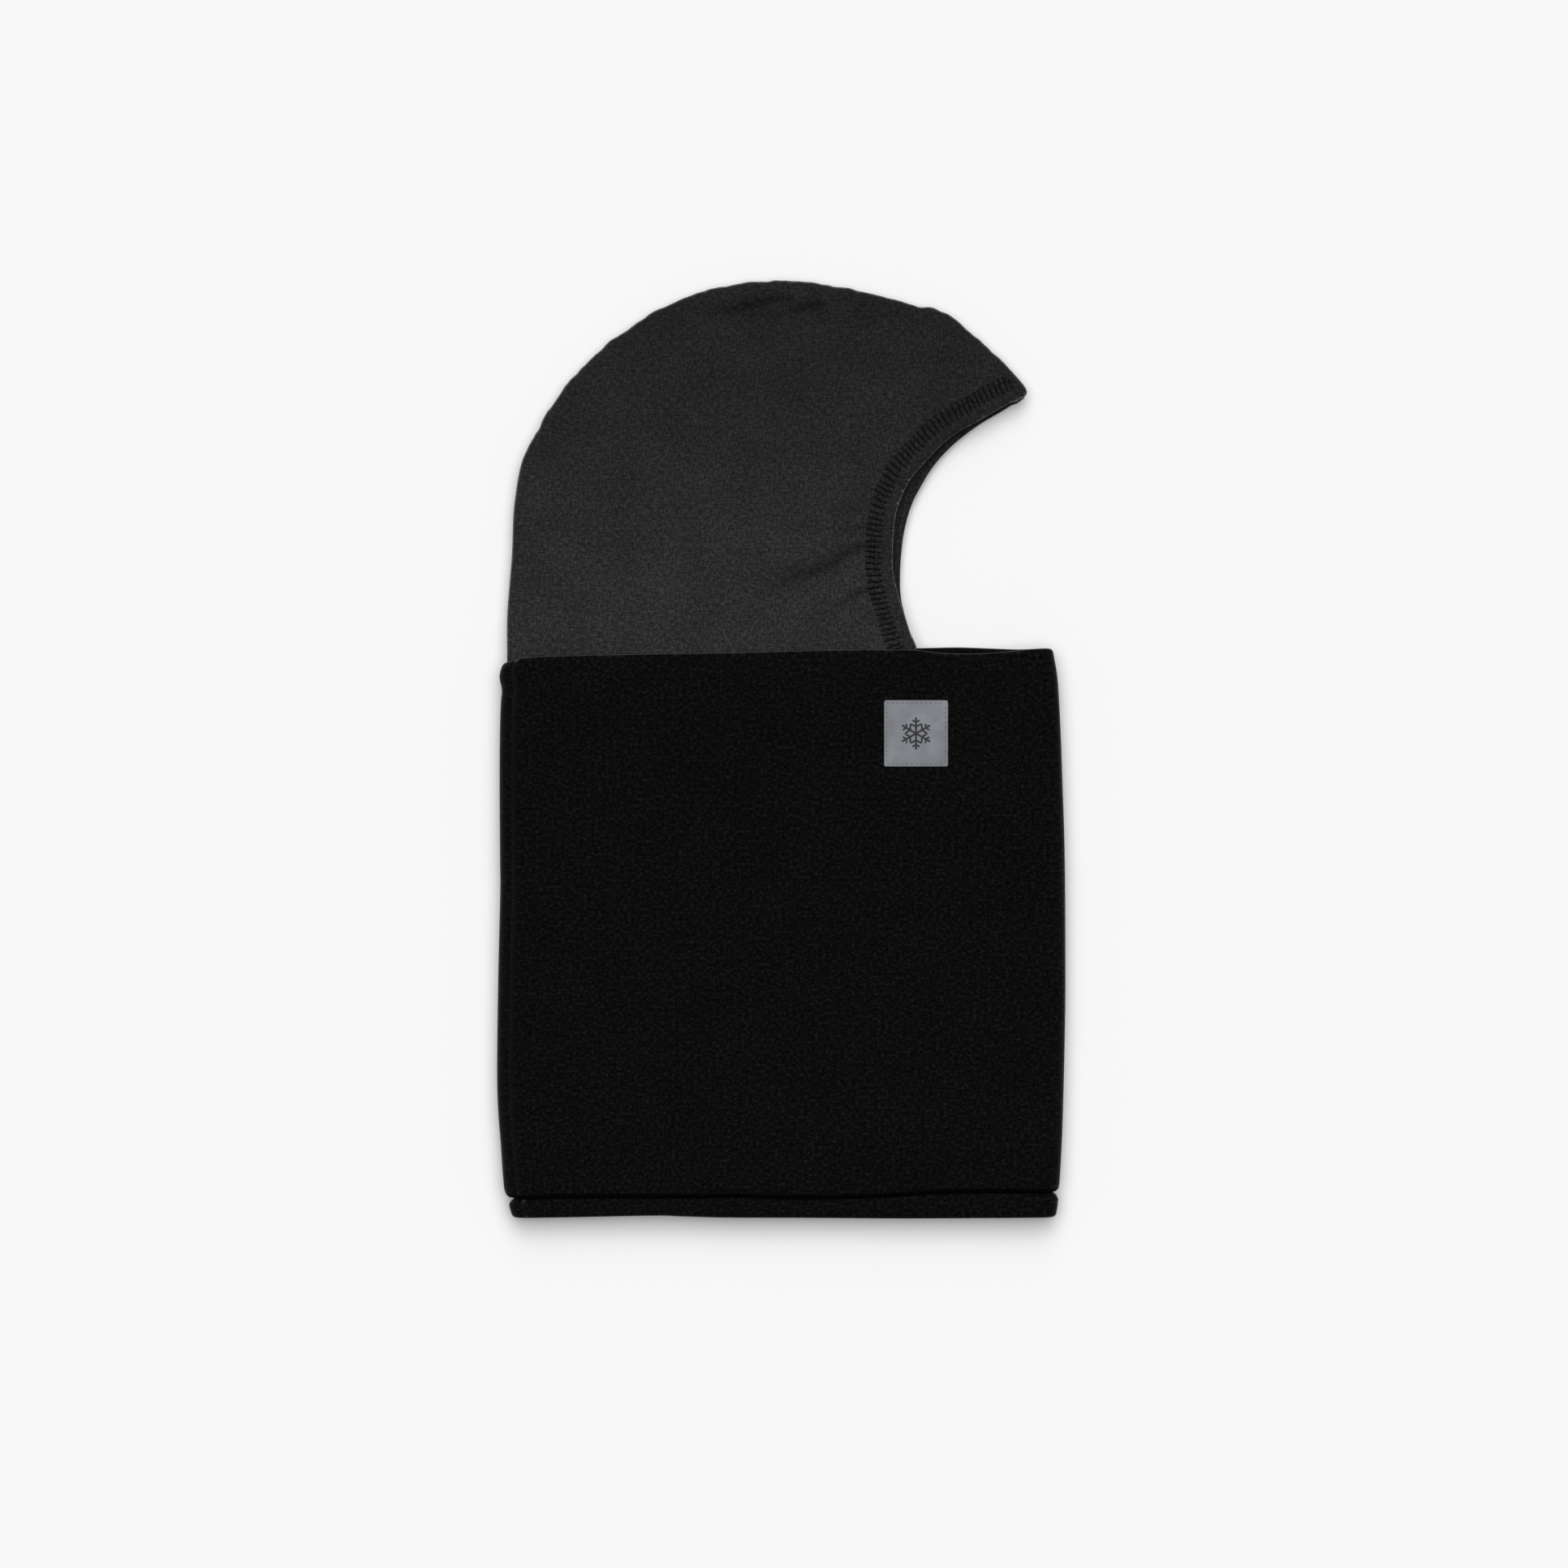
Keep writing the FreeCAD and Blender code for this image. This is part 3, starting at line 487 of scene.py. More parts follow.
def hood_panel(side):
    """One half of the hood in one mesh: the filled middle, the roll of the crown and the turned hem."""
    up = 1 if side == "right" else -1
    rolls, roll_cuts, roll_normals = crown_roll(side, up)
    face = face_lines[side]
    from_tip = np.linalg.norm(face - face[0], axis=1)
    face = face[from_tip > ROLL + KNIT + 1.0]
    face = face + sideways(face) * (HEM_EDGE + KNIT / 2)
    neck_line = even_steps(np.array([face[-1], rolls[0][0, :2]]), GRID)[1:-1]
    outline = np.vstack([rolls[0][:, :2], face, neck_line])
    middle, triangles = fill_outline(outline, GRID, stitch_band(side))
    heights = np.concatenate([surface_at(side, part) for part in np.array_split(middle, 40)])
    points = [np.column_stack([middle, heights])]
    flats, faces, count = [middle], list(triangles), len(middle)

    faces += strip_faces(len(rolls), len(crown_line), count)
    points += rolls
    flats += roll_cuts
    count += len(rolls) * len(crown_line)

    border = np.vstack([[row[-1] for row in rolls[::-1]], np.column_stack([face, surface_at(side, face)])])
    normals = np.vstack([[row[-1] for row in roll_normals[::-1]], np.tile((0, 0, up), (len(face), 1))])
    cuts = np.vstack([[row[-1] for row in roll_cuts[::-1]], face])
    outside = -sideways(cuts)
    rows, row_flats = turned_hem(side, border, normals, cuts, outside, up)
    turned = np.vstack(rows)
    inner_row = np.repeat(np.arange(len(rows)), len(border)) > FOLD_ROWS
    kept = ~inner_row | (gap_to(turned[:, :2], crown_line) > ROLL + 1.2)
    faces += [tuple(i + count for i in f) for f in strip_faces(len(rows), len(border)) if kept[list(f)].all()]
    points += rows
    flats += row_flats
    piece = cloth_mesh(f"hood_{side}", np.vstack(points), faces, np.vstack(flats), KNIT)
    print(piece.name, len(piece.data.vertices), "points")
    return piece


hood_right = hood_panel("right")
hood_left = hood_panel("left")

# %% [markdown]
# ## The neck tube
#
# The tube is one round of fleece with a seam at the back of the neck. Its top is turned in 15 mm and
# blind-stitched, and below a tuck at the bottom it is folded double into a band. A cylinder could be
# squashed for it, but a profile of (place along the tube, depth under the outer surface), carried round a
# flattened loop, makes a fold with only a few more points. The sides and both ends are a little uneven, as
# cut and sewn fleece is.

# %% The tube's outline
TOP, TUCK, BOTTOM = tube_high.y - FLEECE / 2, tube_low.y, band_low.y + FLEECE / 2
TUBE_LAY, BAND_LAY = tube_high.z, band_high.z
SIDE_ROUND = 8.0  # radius of the rounded sides, mm

# The sides are (place along the tube, how far in from its box). The others are (place across, shift along).
LEFT_SIDE = [
    (-219, 7.0), (-216, 6.2), (-210, 5.0), (-206, 5.2), (-204.5, 3.4), (-200, 2.5), (-183, 1.2), (-156, -0.5),
    (-110, -0.1), (-66, 0.9), (-50, 0.8), (-13, 0.6), (12, 0.8), (26, 1.2), (33, 1.7), (39, 0.5), (43, 1.2),
    (45, 2.3), (46, 3.4),
]
RIGHT_SIDE = [
    (-219, 4.5), (-216, 4.0), (-210, 3.1), (-206, 3.4), (-204.5, 2.8), (-200, 2.4), (-179, 1.3), (-156, 0.6),
    (-122, -0.1), (-96, -0.2), (-50, 0.1), (-13, 1.2), (10, 2.1), (28, 3.1), (35, 3.8), (40, 4.7), (44, 5.4),
    (47, 5.9),
]
TOP_EDGE_NEAR = [
    (-132, -6.0), (-127, -5.2), (-118, -3.3), (-99, -2.4), (-60, -1.6), (-20, -1.0), (0, -0.4), (30, 0.3),
    (55, 0.3), (62, 0.3), (68, -0.5), (75, -1.2), (85, -1.5), (95, -1.2), (105, -0.4), (115, 0.6), (124, 1.1),
    (132, 0.8),
]
TOP_EDGE_FAR = [
    (-132, -6.0), (-99, -2.4), (0, 0.0), (60, 1.2), (80, 1.6), (90, 1.4), (100, 1.0), (110, 0.7), (120, 1.0),
    (132, 1.0),
]
TUCK_EDGE = [
    (-132, -1.4), (-115, -1.8), (-100, -1.2), (-40, -1.2), (-20, -0.9), (5, -1.6), (25, -1.5), (45, -1.0),
    (62, 0.1), (80, 1.1), (120, 1.1), (132, 1.2),
]
BAND_EDGE = [
    (-132, 0.8), (-105, 1.1), (-60, 2.0), (-45, 1.6), (-25, 1.1), (10, 1.0), (55, 0.7), (100, 0.9),
    (132, 1.2),
]
print("tube from", round(BOTTOM, 1), "to", round(TOP, 1), "mm")

# %% Carrying a profile round the tube


def fleece_relief(x, y):
    """How far the upper wall's surface stands above or below its level, in mm."""
    dents = soft_waves(x, y, 75, 21) * 0.32 + soft_waves(x, y, 33, 22) * 0.12
    off_label = np.maximum(np.abs(x - label_mid.x) - 15, np.abs(y - label_mid.y) - 15)
    dents = (dents - 0.1) * smooth_step(off_label, 1, 16)
    pressed = 0.25 * np.exp(-((off_label - 1.2) ** 2) / 2)
    blind_stitch = 0.22 * np.exp(-((y - facing_low.y - 1) ** 2) / 1.2)
    return dents - pressed - blind_stitch


def round_the_loop(spacing=2.2, side_steps=12):
    """(share across from left to right, angle from straight up) for each point round a flattened tube."""
    across = round((tube_high.x - tube_low.x) / spacing)
    run = np.linspace(0, 1, across)
    arc = np.linspace(0, math.pi, side_steps)[1:-1]
    share = np.concatenate([run, np.ones(len(arc)), run[::-1], np.zeros(len(arc))])
    angle = np.concatenate([np.zeros(across), arc, np.full(across, math.pi), math.pi + arc])
    return share, angle


def flat_loop(name, profile, lay):
    """Carries a profile of (y, depth) round the flattened tube."""
    share, angle = round_the_loop()
    upper = (1 + np.cos(angle)) / 2
    rows, cuts, cut_y = [], [], 0.0
    for i, (y, depth) in enumerate(profile):
        left = tube_low.x + through(y, LEFT_SIDE) + SIDE_ROUND
        right = tube_high.x - through(y, RIGHT_SIDE) - SIDE_ROUND
        x = left + (right - left) * share + (SIDE_ROUND - depth) * np.sin(angle)
        z = lay / 2 + (lay / 2 - depth) * np.cos(angle)
        top_shift = upper * through(x, TOP_EDGE_NEAR) + (1 - upper) * through(x, TOP_EDGE_FAR)
        shift = top_shift * smooth_step(y, TOP - 50, TOP - 2)
        above_band = smooth_step(y, BOTTOM, TUCK - 2)
        shift += through(x, TUCK_EDGE) * (1 - smooth_step(y, TUCK, TUCK + 45)) * above_band
        shift += through(x, BAND_EDGE) * (1 - above_band)
        z += fleece_relief(x, y + shift) * smooth_step(np.cos(angle), 0.2, 1.0)
        if i:
            cut_y += math.dist(profile[i - 1], (y, depth))
        rows.append(np.column_stack([x, y + shift, z]))
        half = (right - left) / 2 + SIDE_ROUND
        cuts.append(np.column_stack([np.where(angle < math.pi / 2, x, 4 * half - x), np.full(len(x), cut_y)]))
    faces = strip_faces(len(rows), len(share), closed=True)
    return cloth_mesh(name, np.vstack(rows), faces, np.vstack(cuts), FLEECE)


print("a loop of", len(round_the_loop()[0]), "points")

# %% Tube and band
MID = FLEECE / 2
TURN = 1.05  # radius of a folded edge, to the middle of the cloth
INNER = MID + 2 * TURN


def half_turn(y, towards, steps=7):
    """The folded edge between the outer layer and the layer turned in behind it."""
    angles = np.linspace(0, math.pi, steps)
    return [(y + towards * TURN * math.sin(a), MID + TURN * (1 - math.cos(a))) for a in angles]


def straight(start, end, depth, spacing=2.4):
    """Even points along a stretch of the profile."""
    return [(y, depth) for y in np.linspace(start, end, round(abs(end - start) / spacing))]


tube_profile = [(TUCK + 3.4, 4.3), (TUCK + 1.9, 4.2), (TUCK + 0.9, 3.7), (TUCK + 0.5, 2.8), (TUCK + 0.7, 1.9)]
tube_profile += [(TUCK + 1.6, 1.2)] + straight(TUCK + 3.6, TOP - 3.0, MID) + half_turn(TOP - TURN, 1)
tube_profile += straight(TOP - 3.0, facing_low.y, INNER)
gaiter_tube = flat_loop("gaiter_tube_cloth", tube_profile, TUBE_LAY)

band_profile = [(TUCK - 0.9, 4.9), (TUCK - 0.8, 4.1), (TUCK - 1.1, 3.3), (TUCK - 1.8, 2.4), (TUCK - 2.8, 1.5)]
band_profile += straight(TUCK - 4.0, BOTTOM + 2.6, MID, 1.6) + half_turn(BOTTOM + TURN, -1)
band_profile += straight(BOTTOM + 2.6, TUCK - 1.8, INNER, 1.6)
gaiter_band = flat_loop("gaiter_band_cloth", band_profile, BAND_LAY)
for piece in (gaiter_tube, gaiter_band):
    print(piece.name, len(piece.data.vertices), "points")

# %% [markdown]
# ## Stitches
#
# The cover stitch at the face has three rows of dark thread that cross the hem, with a finer thread looped
# between them. The rows lie in the valleys of the pucker and are drawn near-black and wider than real thread,
# so they are partly real thread and partly painted shade for those valleys. It could be a bump in the
# material, but real thread throws small shadows and shows from the side. Each stitch is placed by two
# numbers: how far it is along the hem, and how far in from the edge. A point of the panel's own surface
# gives its height, so the thread lies on the cloth, and the ends of each run dip into it.

# %% Cover stitch
LOOP_THREAD = 0.2  # radius, drawn coarser than real thread so that it shows


def on_hem(side, along, depth, lift):
    """Points on a hood panel: along the hem, depth in from its edge, lift above the middle of the cloth."""
    line = face_lines[side]
    run = np.concatenate([[0], np.linalg.norm(np.diff(line, axis=0), axis=1).cumsum()])
    right = sideways(line)
    along, depth = np.broadcast_arrays(np.asarray(along, float), np.asarray(depth, float))
    at_edge = np.stack([np.interp(along, run, line[:, k]) for k in (0, 1)], axis=1)
    inward = np.stack([np.interp(along, run, right[:, k]) for k in (0, 1)], axis=1)
    place = at_edge + depth[:, None] * inward
    up = 1 if side == "right" else -1
    return np.column_stack([place, surface_at(side, place) + up * lift])


def joined(pieces, name):
    """Several meshes as one."""
    with bpy.context.temp_override(active_object=pieces[0], selected_editable_objects=pieces):
        bpy.ops.object.join()
    pieces[0].name = pieces[0].data.name = name
    return pieces[0]


def clear_of_crown(run, gap=2.2):
    """Whether a run of thread stays on the flat of the panel."""
    return np.linalg.norm(run[:, None, :2] - crown_line[None], axis=2).min() > gap


def hem_length(side):
    """Length of a face line, from the brow's tip to its end inside the tube."""
    return np.linalg.norm(np.diff(face_lines[side], axis=0), axis=1).sum()


print("the near hem is", round(hem_length("right")), "mm long")

# %% Threads of the cover stitch
# the needle threads are drawn wider than real thread and near-black: partly thread, partly painted shade for
# the pucker's valleys
NEEDLE_ROWS = ((9.2, 12.7, 0.64), (7.7, 9.0, 0.55), (5.3, 7.4, 0.5))  # from, to, radius of the thread
LOOP_ROWS = ((5.2, 8.5), (8.7, 12.2))  # from, to
INSIDE_ROWS = (2.9, 10.1)  # the needles' rows on the inside of the hem, from its edge


def cover_stitch(side):
    """Dark threads across the hem in three rows, sunk in the pucker, and fine loops over the ridges."""
    rng = np.random.default_rng(41)
    needles, loops = [], []
    share = np.linspace(0, 1, 7)
    bow = 0.6 * np.sin(math.pi * share) - 0.34
    stitches = np.arange(1.5, hem_length(side) / STITCH_PITCH - 1.5)
    for start, end, radius in NEEDLE_ROWS:
        runs = []
        for valley in stitches:
            depth = start + (end - start) * share + rng.normal(0, 0.18)
            place = valley + rng.normal(0, 0.05) + rng.normal(0, 0.07) * (share - 0.5)
            runs.append(on_hem(side, (place - SLANT * depth) * STITCH_PITCH, depth, bow + KNIT / 2))
        needles.append(tubes("needle_row", [run for run in runs if clear_of_crown(run)], radius))
    for start, end in LOOP_ROWS:
        depth = start + (end - start) * share
        sway = 0.5 - SLANT * depth + 0.5 * np.sin(math.tau * share)
        lift = bow * 0.5 + KNIT / 2
        loops += [on_hem(side, (valley + sway) * STITCH_PITCH, depth, lift) for valley in stitches]
    loops = [run for run in loops if clear_of_crown(run)]
    print(side, len(stitches), "stitches and", len(loops), "loops")
    return (joined(needles, f"coverstitch_needles_{side}"),
            tubes(f"coverstitch_loops_{side}", loops, LOOP_THREAD, sides=5))


def inside_stitch(side):
    """The two straight rows that the needles leave on the inside of the hem."""
    lift = -(KNIT / 2 + 2 * HEM_EDGE + 0.08)
    share = np.linspace(0, 1, 4)
    dip = np.array((0.25, -0.05, -0.05, 0.25))
    starts = np.arange(8, hem_length(side) - 6, STITCH_PITCH)
    runs = [on_hem(side, start + 2.1 * share, np.full(4, row), lift + dip)
            for row in INSIDE_ROWS for start in starts]
    runs = [run for run in runs if clear_of_crown(run, 6)]
    return tubes(f"hem_inside_stitches_{side}", runs, 0.2, sides=5)


cover_right, loops_right = cover_stitch("right")
cover_left, loops_left = cover_stitch("left")
inside_right, inside_left = inside_stitch("right"), inside_stitch("left")

# %% [markdown]
# ## Seams inside
#
# Both cloths are joined edge to edge on the inside, and the raw edges are wrapped with an overlock stitch.
# A seam allowance is two layers side by side, so it is two narrow strips, and the overlock is a thread that
# climbs over their edge again and again.

# %% Seam allowances and overlock


def seam_ridge(name, line, inward, width, cloth):
    """Two layers of cloth, one above the other, that stand in from a seam. line and inward are 3-D."""
    steps = np.linspace(0, width, 5)
    ripple = 0.25 * np.sin(np.arange(len(line)) * 0.9) + 0.2 * np.sin(np.arange(len(line)) * 0.37)
    points, faces, flat = [], [], []
    for layer in (-1, 1):
        start = len(points) * len(line)
        for row, step in enumerate(steps):
            lift = layer * cloth * 0.55 + ripple * (step / width) * 0.5
            points.append(line + inward * step + np.outer(lift, (0, 0, 1)))
            flat.append(line[:, :2] + inward[:, :2] * step)
        faces += strip_faces(len(steps), len(line), start)
    return cloth_mesh(name, np.vstack(points), faces, np.vstack(flat), cloth)


def overlock(name, line, inward, width, cloth, radius=0.2):
    """Thread that wraps the raw edge of a seam ridge."""
    runs = []
    reach, lift = width + cloth * 0.5, cloth * 1.25
    path = [(0.35, 1.0), (0.8, 1.0), (1.0, 0.45), (1.0, -0.45), (0.8, -1.0), (0.35, -1.0)]
    for i in range(1, len(line) - 2, 2):
        run = []
        for k, (share, level) in enumerate(path):
            at = line[i] + (line[i + 1] - line[i]) * k / (len(path) - 1)
            run.append(at + inward[i] * reach * share + np.array((0, 0, lift * level)))
        runs.append(run)
    return tubes(name, runs, radius, sides=5)


def level_line(points_2d, z):
    """Flat points with a height added."""
    return np.column_stack([points_2d, np.broadcast_to(z, len(points_2d))])


print("seam helpers ready")

# %% The crown seam and the back seam
CROWN_WIDTH, CROWN_LAYER = 4.0, 0.85  # the allowance and the thickness of each layer, mm
BACK_WIDTH, BACK_LAYER, BACK_LEVEL = 4.2, 0.9, 8.0  # the same for fleece, and its height in the tube
NAPE_STEPS, BROW_STEPS = 46, 10  # steps of the crown without an allowance, at the ramp and at the tip

past_ramp = crown_line[NAPE_STEPS:-BROW_STEPS]
crown_in = level_line(sideways(past_ramp), 0.0)
crown_at = level_line(past_ramp + sideways(past_ramp) * 1.6, seam_height(past_ramp))
crown_seam = seam_ridge("crown_seam_cloth", crown_at, crown_in, CROWN_WIDTH, CROWN_LAYER)
crown_lock = overlock("crown_seam_overlock_thread", crown_at, crown_in, CROWN_WIDTH, CROWN_LAYER)

back_y = np.arange(TUCK + 4, facing_low.y - 2, 1.5)
back_x = tube_low.x + through(back_y, LEFT_SIDE) + FLEECE + 0.1
back_at = level_line(np.column_stack([back_x, back_y]), BACK_LEVEL)
back_in = np.tile((1.0, 0, 0), (len(back_y), 1))
back_seam = seam_ridge("gaiter_seam_cloth", back_at, back_in, BACK_WIDTH, BACK_LAYER)
back_lock = overlock("gaiter_seam_overlock_thread", back_at, back_in, BACK_WIDTH, BACK_LAYER)
print("crown seam", len(crown_at), "steps, back seam", len(back_at), "steps")

# %% [markdown]
# ## Labels
#
# A small woven reflective patch is sewn to the tube near its top edge, with a running stitch just inside
# its border and a printed snowflake. A blank satin ribbon is caught in the back seam, inside the tube.

# %% Patch
CORNER_ROUND = 1.1  # radius of the patch's corners, mm
EDGE_ROUND = 0.6  # and of its rim
STITCH_INSET = 1.25  # the running stitch from the patch's edge


def label_cloth():
    """The patch: a thin closed pad with rounded edges, dented where its running stitch pulls it down."""
    half_x, half_y = (label_high.x - label_low.x) / 2, (label_high.y - label_low.y) / 2
    edge = np.array((0.0, 0.12, 0.3, EDGE_ROUND))
    xs = np.concatenate([-half_x + edge, np.linspace(-half_x + 1.1, half_x - 1.1, 56), half_x - edge[::-1]])
    ys = np.concatenate([-half_y + edge, np.linspace(-half_y + 1.1, half_y - 1.1, 58), half_y - edge[::-1]])
    x, y = np.meshgrid(xs, ys)
    from_edge = np.minimum(half_x - np.abs(x), half_y - np.abs(y))
    u = np.clip((np.abs(x) - half_x + CORNER_ROUND) / CORNER_ROUND, 0, 1)
    v = np.clip((np.abs(y) - half_y + CORNER_ROUND) / CORNER_ROUND, 0, 1)
    x = x - np.sign(x) * CORNER_ROUND * u * (1 - np.sqrt(1 - v**2 / 2))
    y = y - np.sign(y) * CORNER_ROUND * v * (1 - np.sqrt(1 - u**2 / 2))
    rise = np.sqrt(1 - (1 - np.clip(from_edge / EDGE_ROUND, 0, 1)) ** 2)
    dent = 0.14 * np.exp(-((from_edge - STITCH_INSET) ** 2) / 0.18)
    top = label_low.z + 0.12 + (label_high.z - label_low.z - 0.12) * rise - dent
    shift = np.array((label_mid.x, label_mid.y))
    flat = np.column_stack([x.ravel(), y.ravel()]) + shift
    upper = np.column_stack([flat, top.ravel()])
    lower = np.column_stack([flat, np.full(len(flat), label_low.z - 0.15)])
    rows, columns = x.shape
    faces = strip_faces(rows, columns)
    under = [tuple(i + rows * columns for i in reversed(f)) for f in faces]
    ring = list(range(columns)) + [r * columns + columns - 1 for r in range(1, rows)]
    ring += [(rows - 1) * columns + c for c in range(columns - 2, -1, -1)]
    ring += [r * columns for r in range(rows - 2, 0, -1)]
    walls = [(b, a, a + rows * columns, b + rows * columns) for a, b in zip(ring, ring[1:] + ring[:1])]
    points, cut = np.vstack([upper, lower]), np.vstack([flat, flat])
    return cloth_mesh("label_patch_cloth", points, faces + under + walls, cut)


def label_running_stitch(length=1.35, pitch=2.2):
    """Short threads in a row along each side of the patch."""
    half_x = (label_high.x - label_low.x) / 2 - STITCH_INSET
    half_y = (label_high.y - label_low.y) / 2 - STITCH_INSET
    level = label_high.z - 0.05
    bow = np.array((-0.25, 0.06, 0.1, 0.06, -0.25)) + level
    share = np.linspace(0, length, 5)
    runs = []
    for s in np.arange(-half_x, half_x - length, pitch):
        for edge in (-half_y, half_y):
            runs.append(np.column_stack([label_mid.x + s + share, np.full(5, label_mid.y + edge), bow]))
    for s in np.arange(-half_y + pitch / 2, half_y - length, pitch):
        for edge in (-half_x, half_x):
            runs.append(np.column_stack([np.full(5, label_mid.x + edge), label_mid.y + s + share, bow]))
    return tubes("label_running_stitch", runs, 0.16)


def care_ribbon():
    """A blank satin ribbon: out from the back seam, down, along the lower wall, one corner curled up."""
    low, high = box_mm("care_label")
    drop = [(low.x - 1.5, BACK_LEVEL), (low.x + 2, 7.2), (low.x + 6.5, 4.2), (low.x + 11, 2.9)]
    middle = smooth_curve(drop + [(high.x, 2.8)], 0.8)
    curl = 0.02 * np.linspace(0, 1, len(middle)) ** 3
    rows = [np.column_stack([middle[:, 0], np.full(len(middle), y), middle[:, 1] + (y - low.y) ** 1.2 * curl])
            for y in np.linspace(low.y, high.y, 14)]
    flat = np.vstack([row[:, :2] for row in rows])
    return cloth_mesh("care_ribbon", np.vstack(rows), strip_faces(len(rows), len(middle)), flat, 0.3)


patch, patch_stitch, ribbon = label_cloth(), label_running_stitch(), care_ribbon()
print("patch", len(patch.data.vertices), "points")

# %% [markdown]
# Colours are written as the sRGB hex values that a colour picker shows. Blender works in linear light, so
# one function turns them over. Another adds a shader node with its settings and its links, whatever kind it
# is. Nodes could be placed by hand in the shader editor, but code keeps each finish next to the reason for
# it.

# %% Material helpers


def linear(hex_colour):
    """An sRGB hex colour as linear RGBA."""
    channels = [int(hex_colour[i:i + 2], 16) / 255 for i in (0, 2, 4)]
    return (*[c / 12.92 if c <= 0.04045 else ((c + 0.055) / 1.055) ** 2.4 for c in channels], 1.0)


def add(tree, kind, inputs, stops=None, **settings):
    """One node with its settings. An input is a number, a colour, an output, or a node for its first output.
    A colour ramp also has stops, which are (place, hex colour)."""
    made = tree.nodes.new(kind)
    for name, value in settings.items():
        setattr(made, name, value)
    for name, value in inputs.items():
        if isinstance(value, bpy.types.Node):
            value = value.outputs[0]
        if isinstance(value, bpy.types.NodeSocket):
            tree.links.new(value, made.inputs[name])
        else:
            made.inputs[name].default_value = value
    if stops:
        elements = made.color_ramp.elements
        for element, (place, colour) in zip((elements[0], elements[1]), (stops[0], stops[-1])):
            element.position, element.color = place, linear(colour)
        for place, colour in stops[1:-1]:
            elements.new(place).color = linear(colour)
    return made


def new_material(name):
    """A material with an empty node tree."""
    material = bpy.data.materials.new(name)
    material.use_nodes = True
    tree = material.node_tree
    tree.nodes.clear()
    return material, tree


def finish_material(material, tree, shader):
    """Ends a finish: its shader becomes the surface."""
    add(tree, "ShaderNodeOutputMaterial", {"Surface": shader})
    print("material", material.name, len(tree.nodes), "nodes")
    return material


print("a middle grey, 808080, is", round(linear("808080")[0], 3), "in linear light")

# %% [markdown]
# ## Finishes
#
# The hood is a polyester jersey, knitted fine and brushed on the face: matte, with a soft sheen at a
# glancing angle and a heather of lighter and darker yarns. Its columns of stitches, the wales, are 0.5 mm
# apart. That is too fine to show, so the streaks are drawn 0.85 mm apart. Two noises, one stretched along
# the wales and one along the rows, cross to give the woven-looking grain. A third one gives the heather, and
# the same pattern drives the bump.
#
# The same cloth is painted in three tones. Along the hem it is painted darker, as painted shade, because the
# hem lies lower and turns away from the light. On the fold of the hem and of the crown it is painted
# lighter, as a painted highlight where the rolled edge catches the light.

# %% Grain and shade on the flat cut
UV_NAME = "Cut"


def cloth_grain(tree, step_mm, seed, detail=2.0):
    """An uneven grain on the flat cut, with steps of (across, along) in mm."""
    cut = add(tree, "ShaderNodeUVMap", {}, uv_map=UV_NAME)
    scale = (1 / (step_mm[0] * MM), 1 / (step_mm[1] * MM), 1.0)
    placed = add(tree, "ShaderNodeVectorMath", {0: cut, 1: scale, 2: (seed, seed, seed)},
                 operation="MULTIPLY_ADD")
    return add(tree, "ShaderNodeTexNoise", {"Vector": placed, "Scale": 1.0, "Detail": detail})


def fading(tree, colour, low_mm, high_mm, strengths):
    """A colour that grows paler or deeper along the cut, from low_mm to high_mm."""
    cut = add(tree, "ShaderNodeUVMap", {}, uv_map=UV_NAME)
    place = add(tree, "ShaderNodeSeparateXYZ", {"Vector": cut})
    fade = add(tree, "ShaderNodeMapRange", {
        "Value": place.outputs["Y"], "From Min": low_mm * MM, "From Max": high_mm * MM,
        "To Min": strengths[0], "To Max": strengths[1]}, interpolation_type="SMOOTHSTEP")
    return add(tree, "ShaderNodeVectorMath", {0: colour, "Scale": fade}, operation="SCALE")


print("grain helpers ready")

# %% Brushed jersey knit


def brushed_jersey_knit(name, dark, middle, light, painted_shade_neck_to_crown):
    """Crossed streaks and heather, a third of each, with broad patches over them."""
    material, tree = new_material(name)
    wales = cloth_grain(tree, (0.85, 2.6), 3, 1.0)
    rows = cloth_grain(tree, (2.6, 0.85), 7, 1.0)
    heather = cloth_grain(tree, (1.2, 1.2), 11, 1.0)
    patches = cloth_grain(tree, (22, 22), 5)
    crossed = add(tree, "ShaderNodeMath", {0: wales, 1: rows}, operation="ADD")
    grain = add(tree, "ShaderNodeMath", {0: crossed, 1: heather}, operation="ADD")
    centred = add(tree, "ShaderNodeMath", {0: patches, 1: 0.5}, operation="SUBTRACT")
    tone = add(tree, "ShaderNodeMath", {0: centred, 1: 0.12}, operation="MULTIPLY")
    value = add(tree, "ShaderNodeMath", {0: grain, 1: 1 / 3, 2: tone}, operation="MULTIPLY_ADD")
    colour = add(tree, "ShaderNodeValToRGB", {"Fac": value}, [(0.4, dark), (0.5, middle), (0.62, light)])
    # painted light and shade: the knit is lighter by the neck and darker towards the crown, for how the light
    # falls on the hood
    faded = fading(tree, colour, TOP, hood_high.y, painted_shade_neck_to_crown)
    bump = add(tree, "ShaderNodeBump", {"Height": grain, "Strength": 0.6, "Distance": 0.25 * MM})
    shader = add(tree, "ShaderNodeBsdfPrincipled", {
        "Base Color": faded, "Roughness": 0.92, "Specular IOR Level": 0.12, "IOR": 1.45,
        "Sheen Weight": 0.35, "Sheen Roughness": 0.35, "Sheen Tint": linear("B4B4B4"), "Normal": bump})
    return finish_material(material, tree, shader)


hood_knit = brushed_jersey_knit("brushed_jersey_knit", "191919", "242424", "333333", (1.12, 0.65))
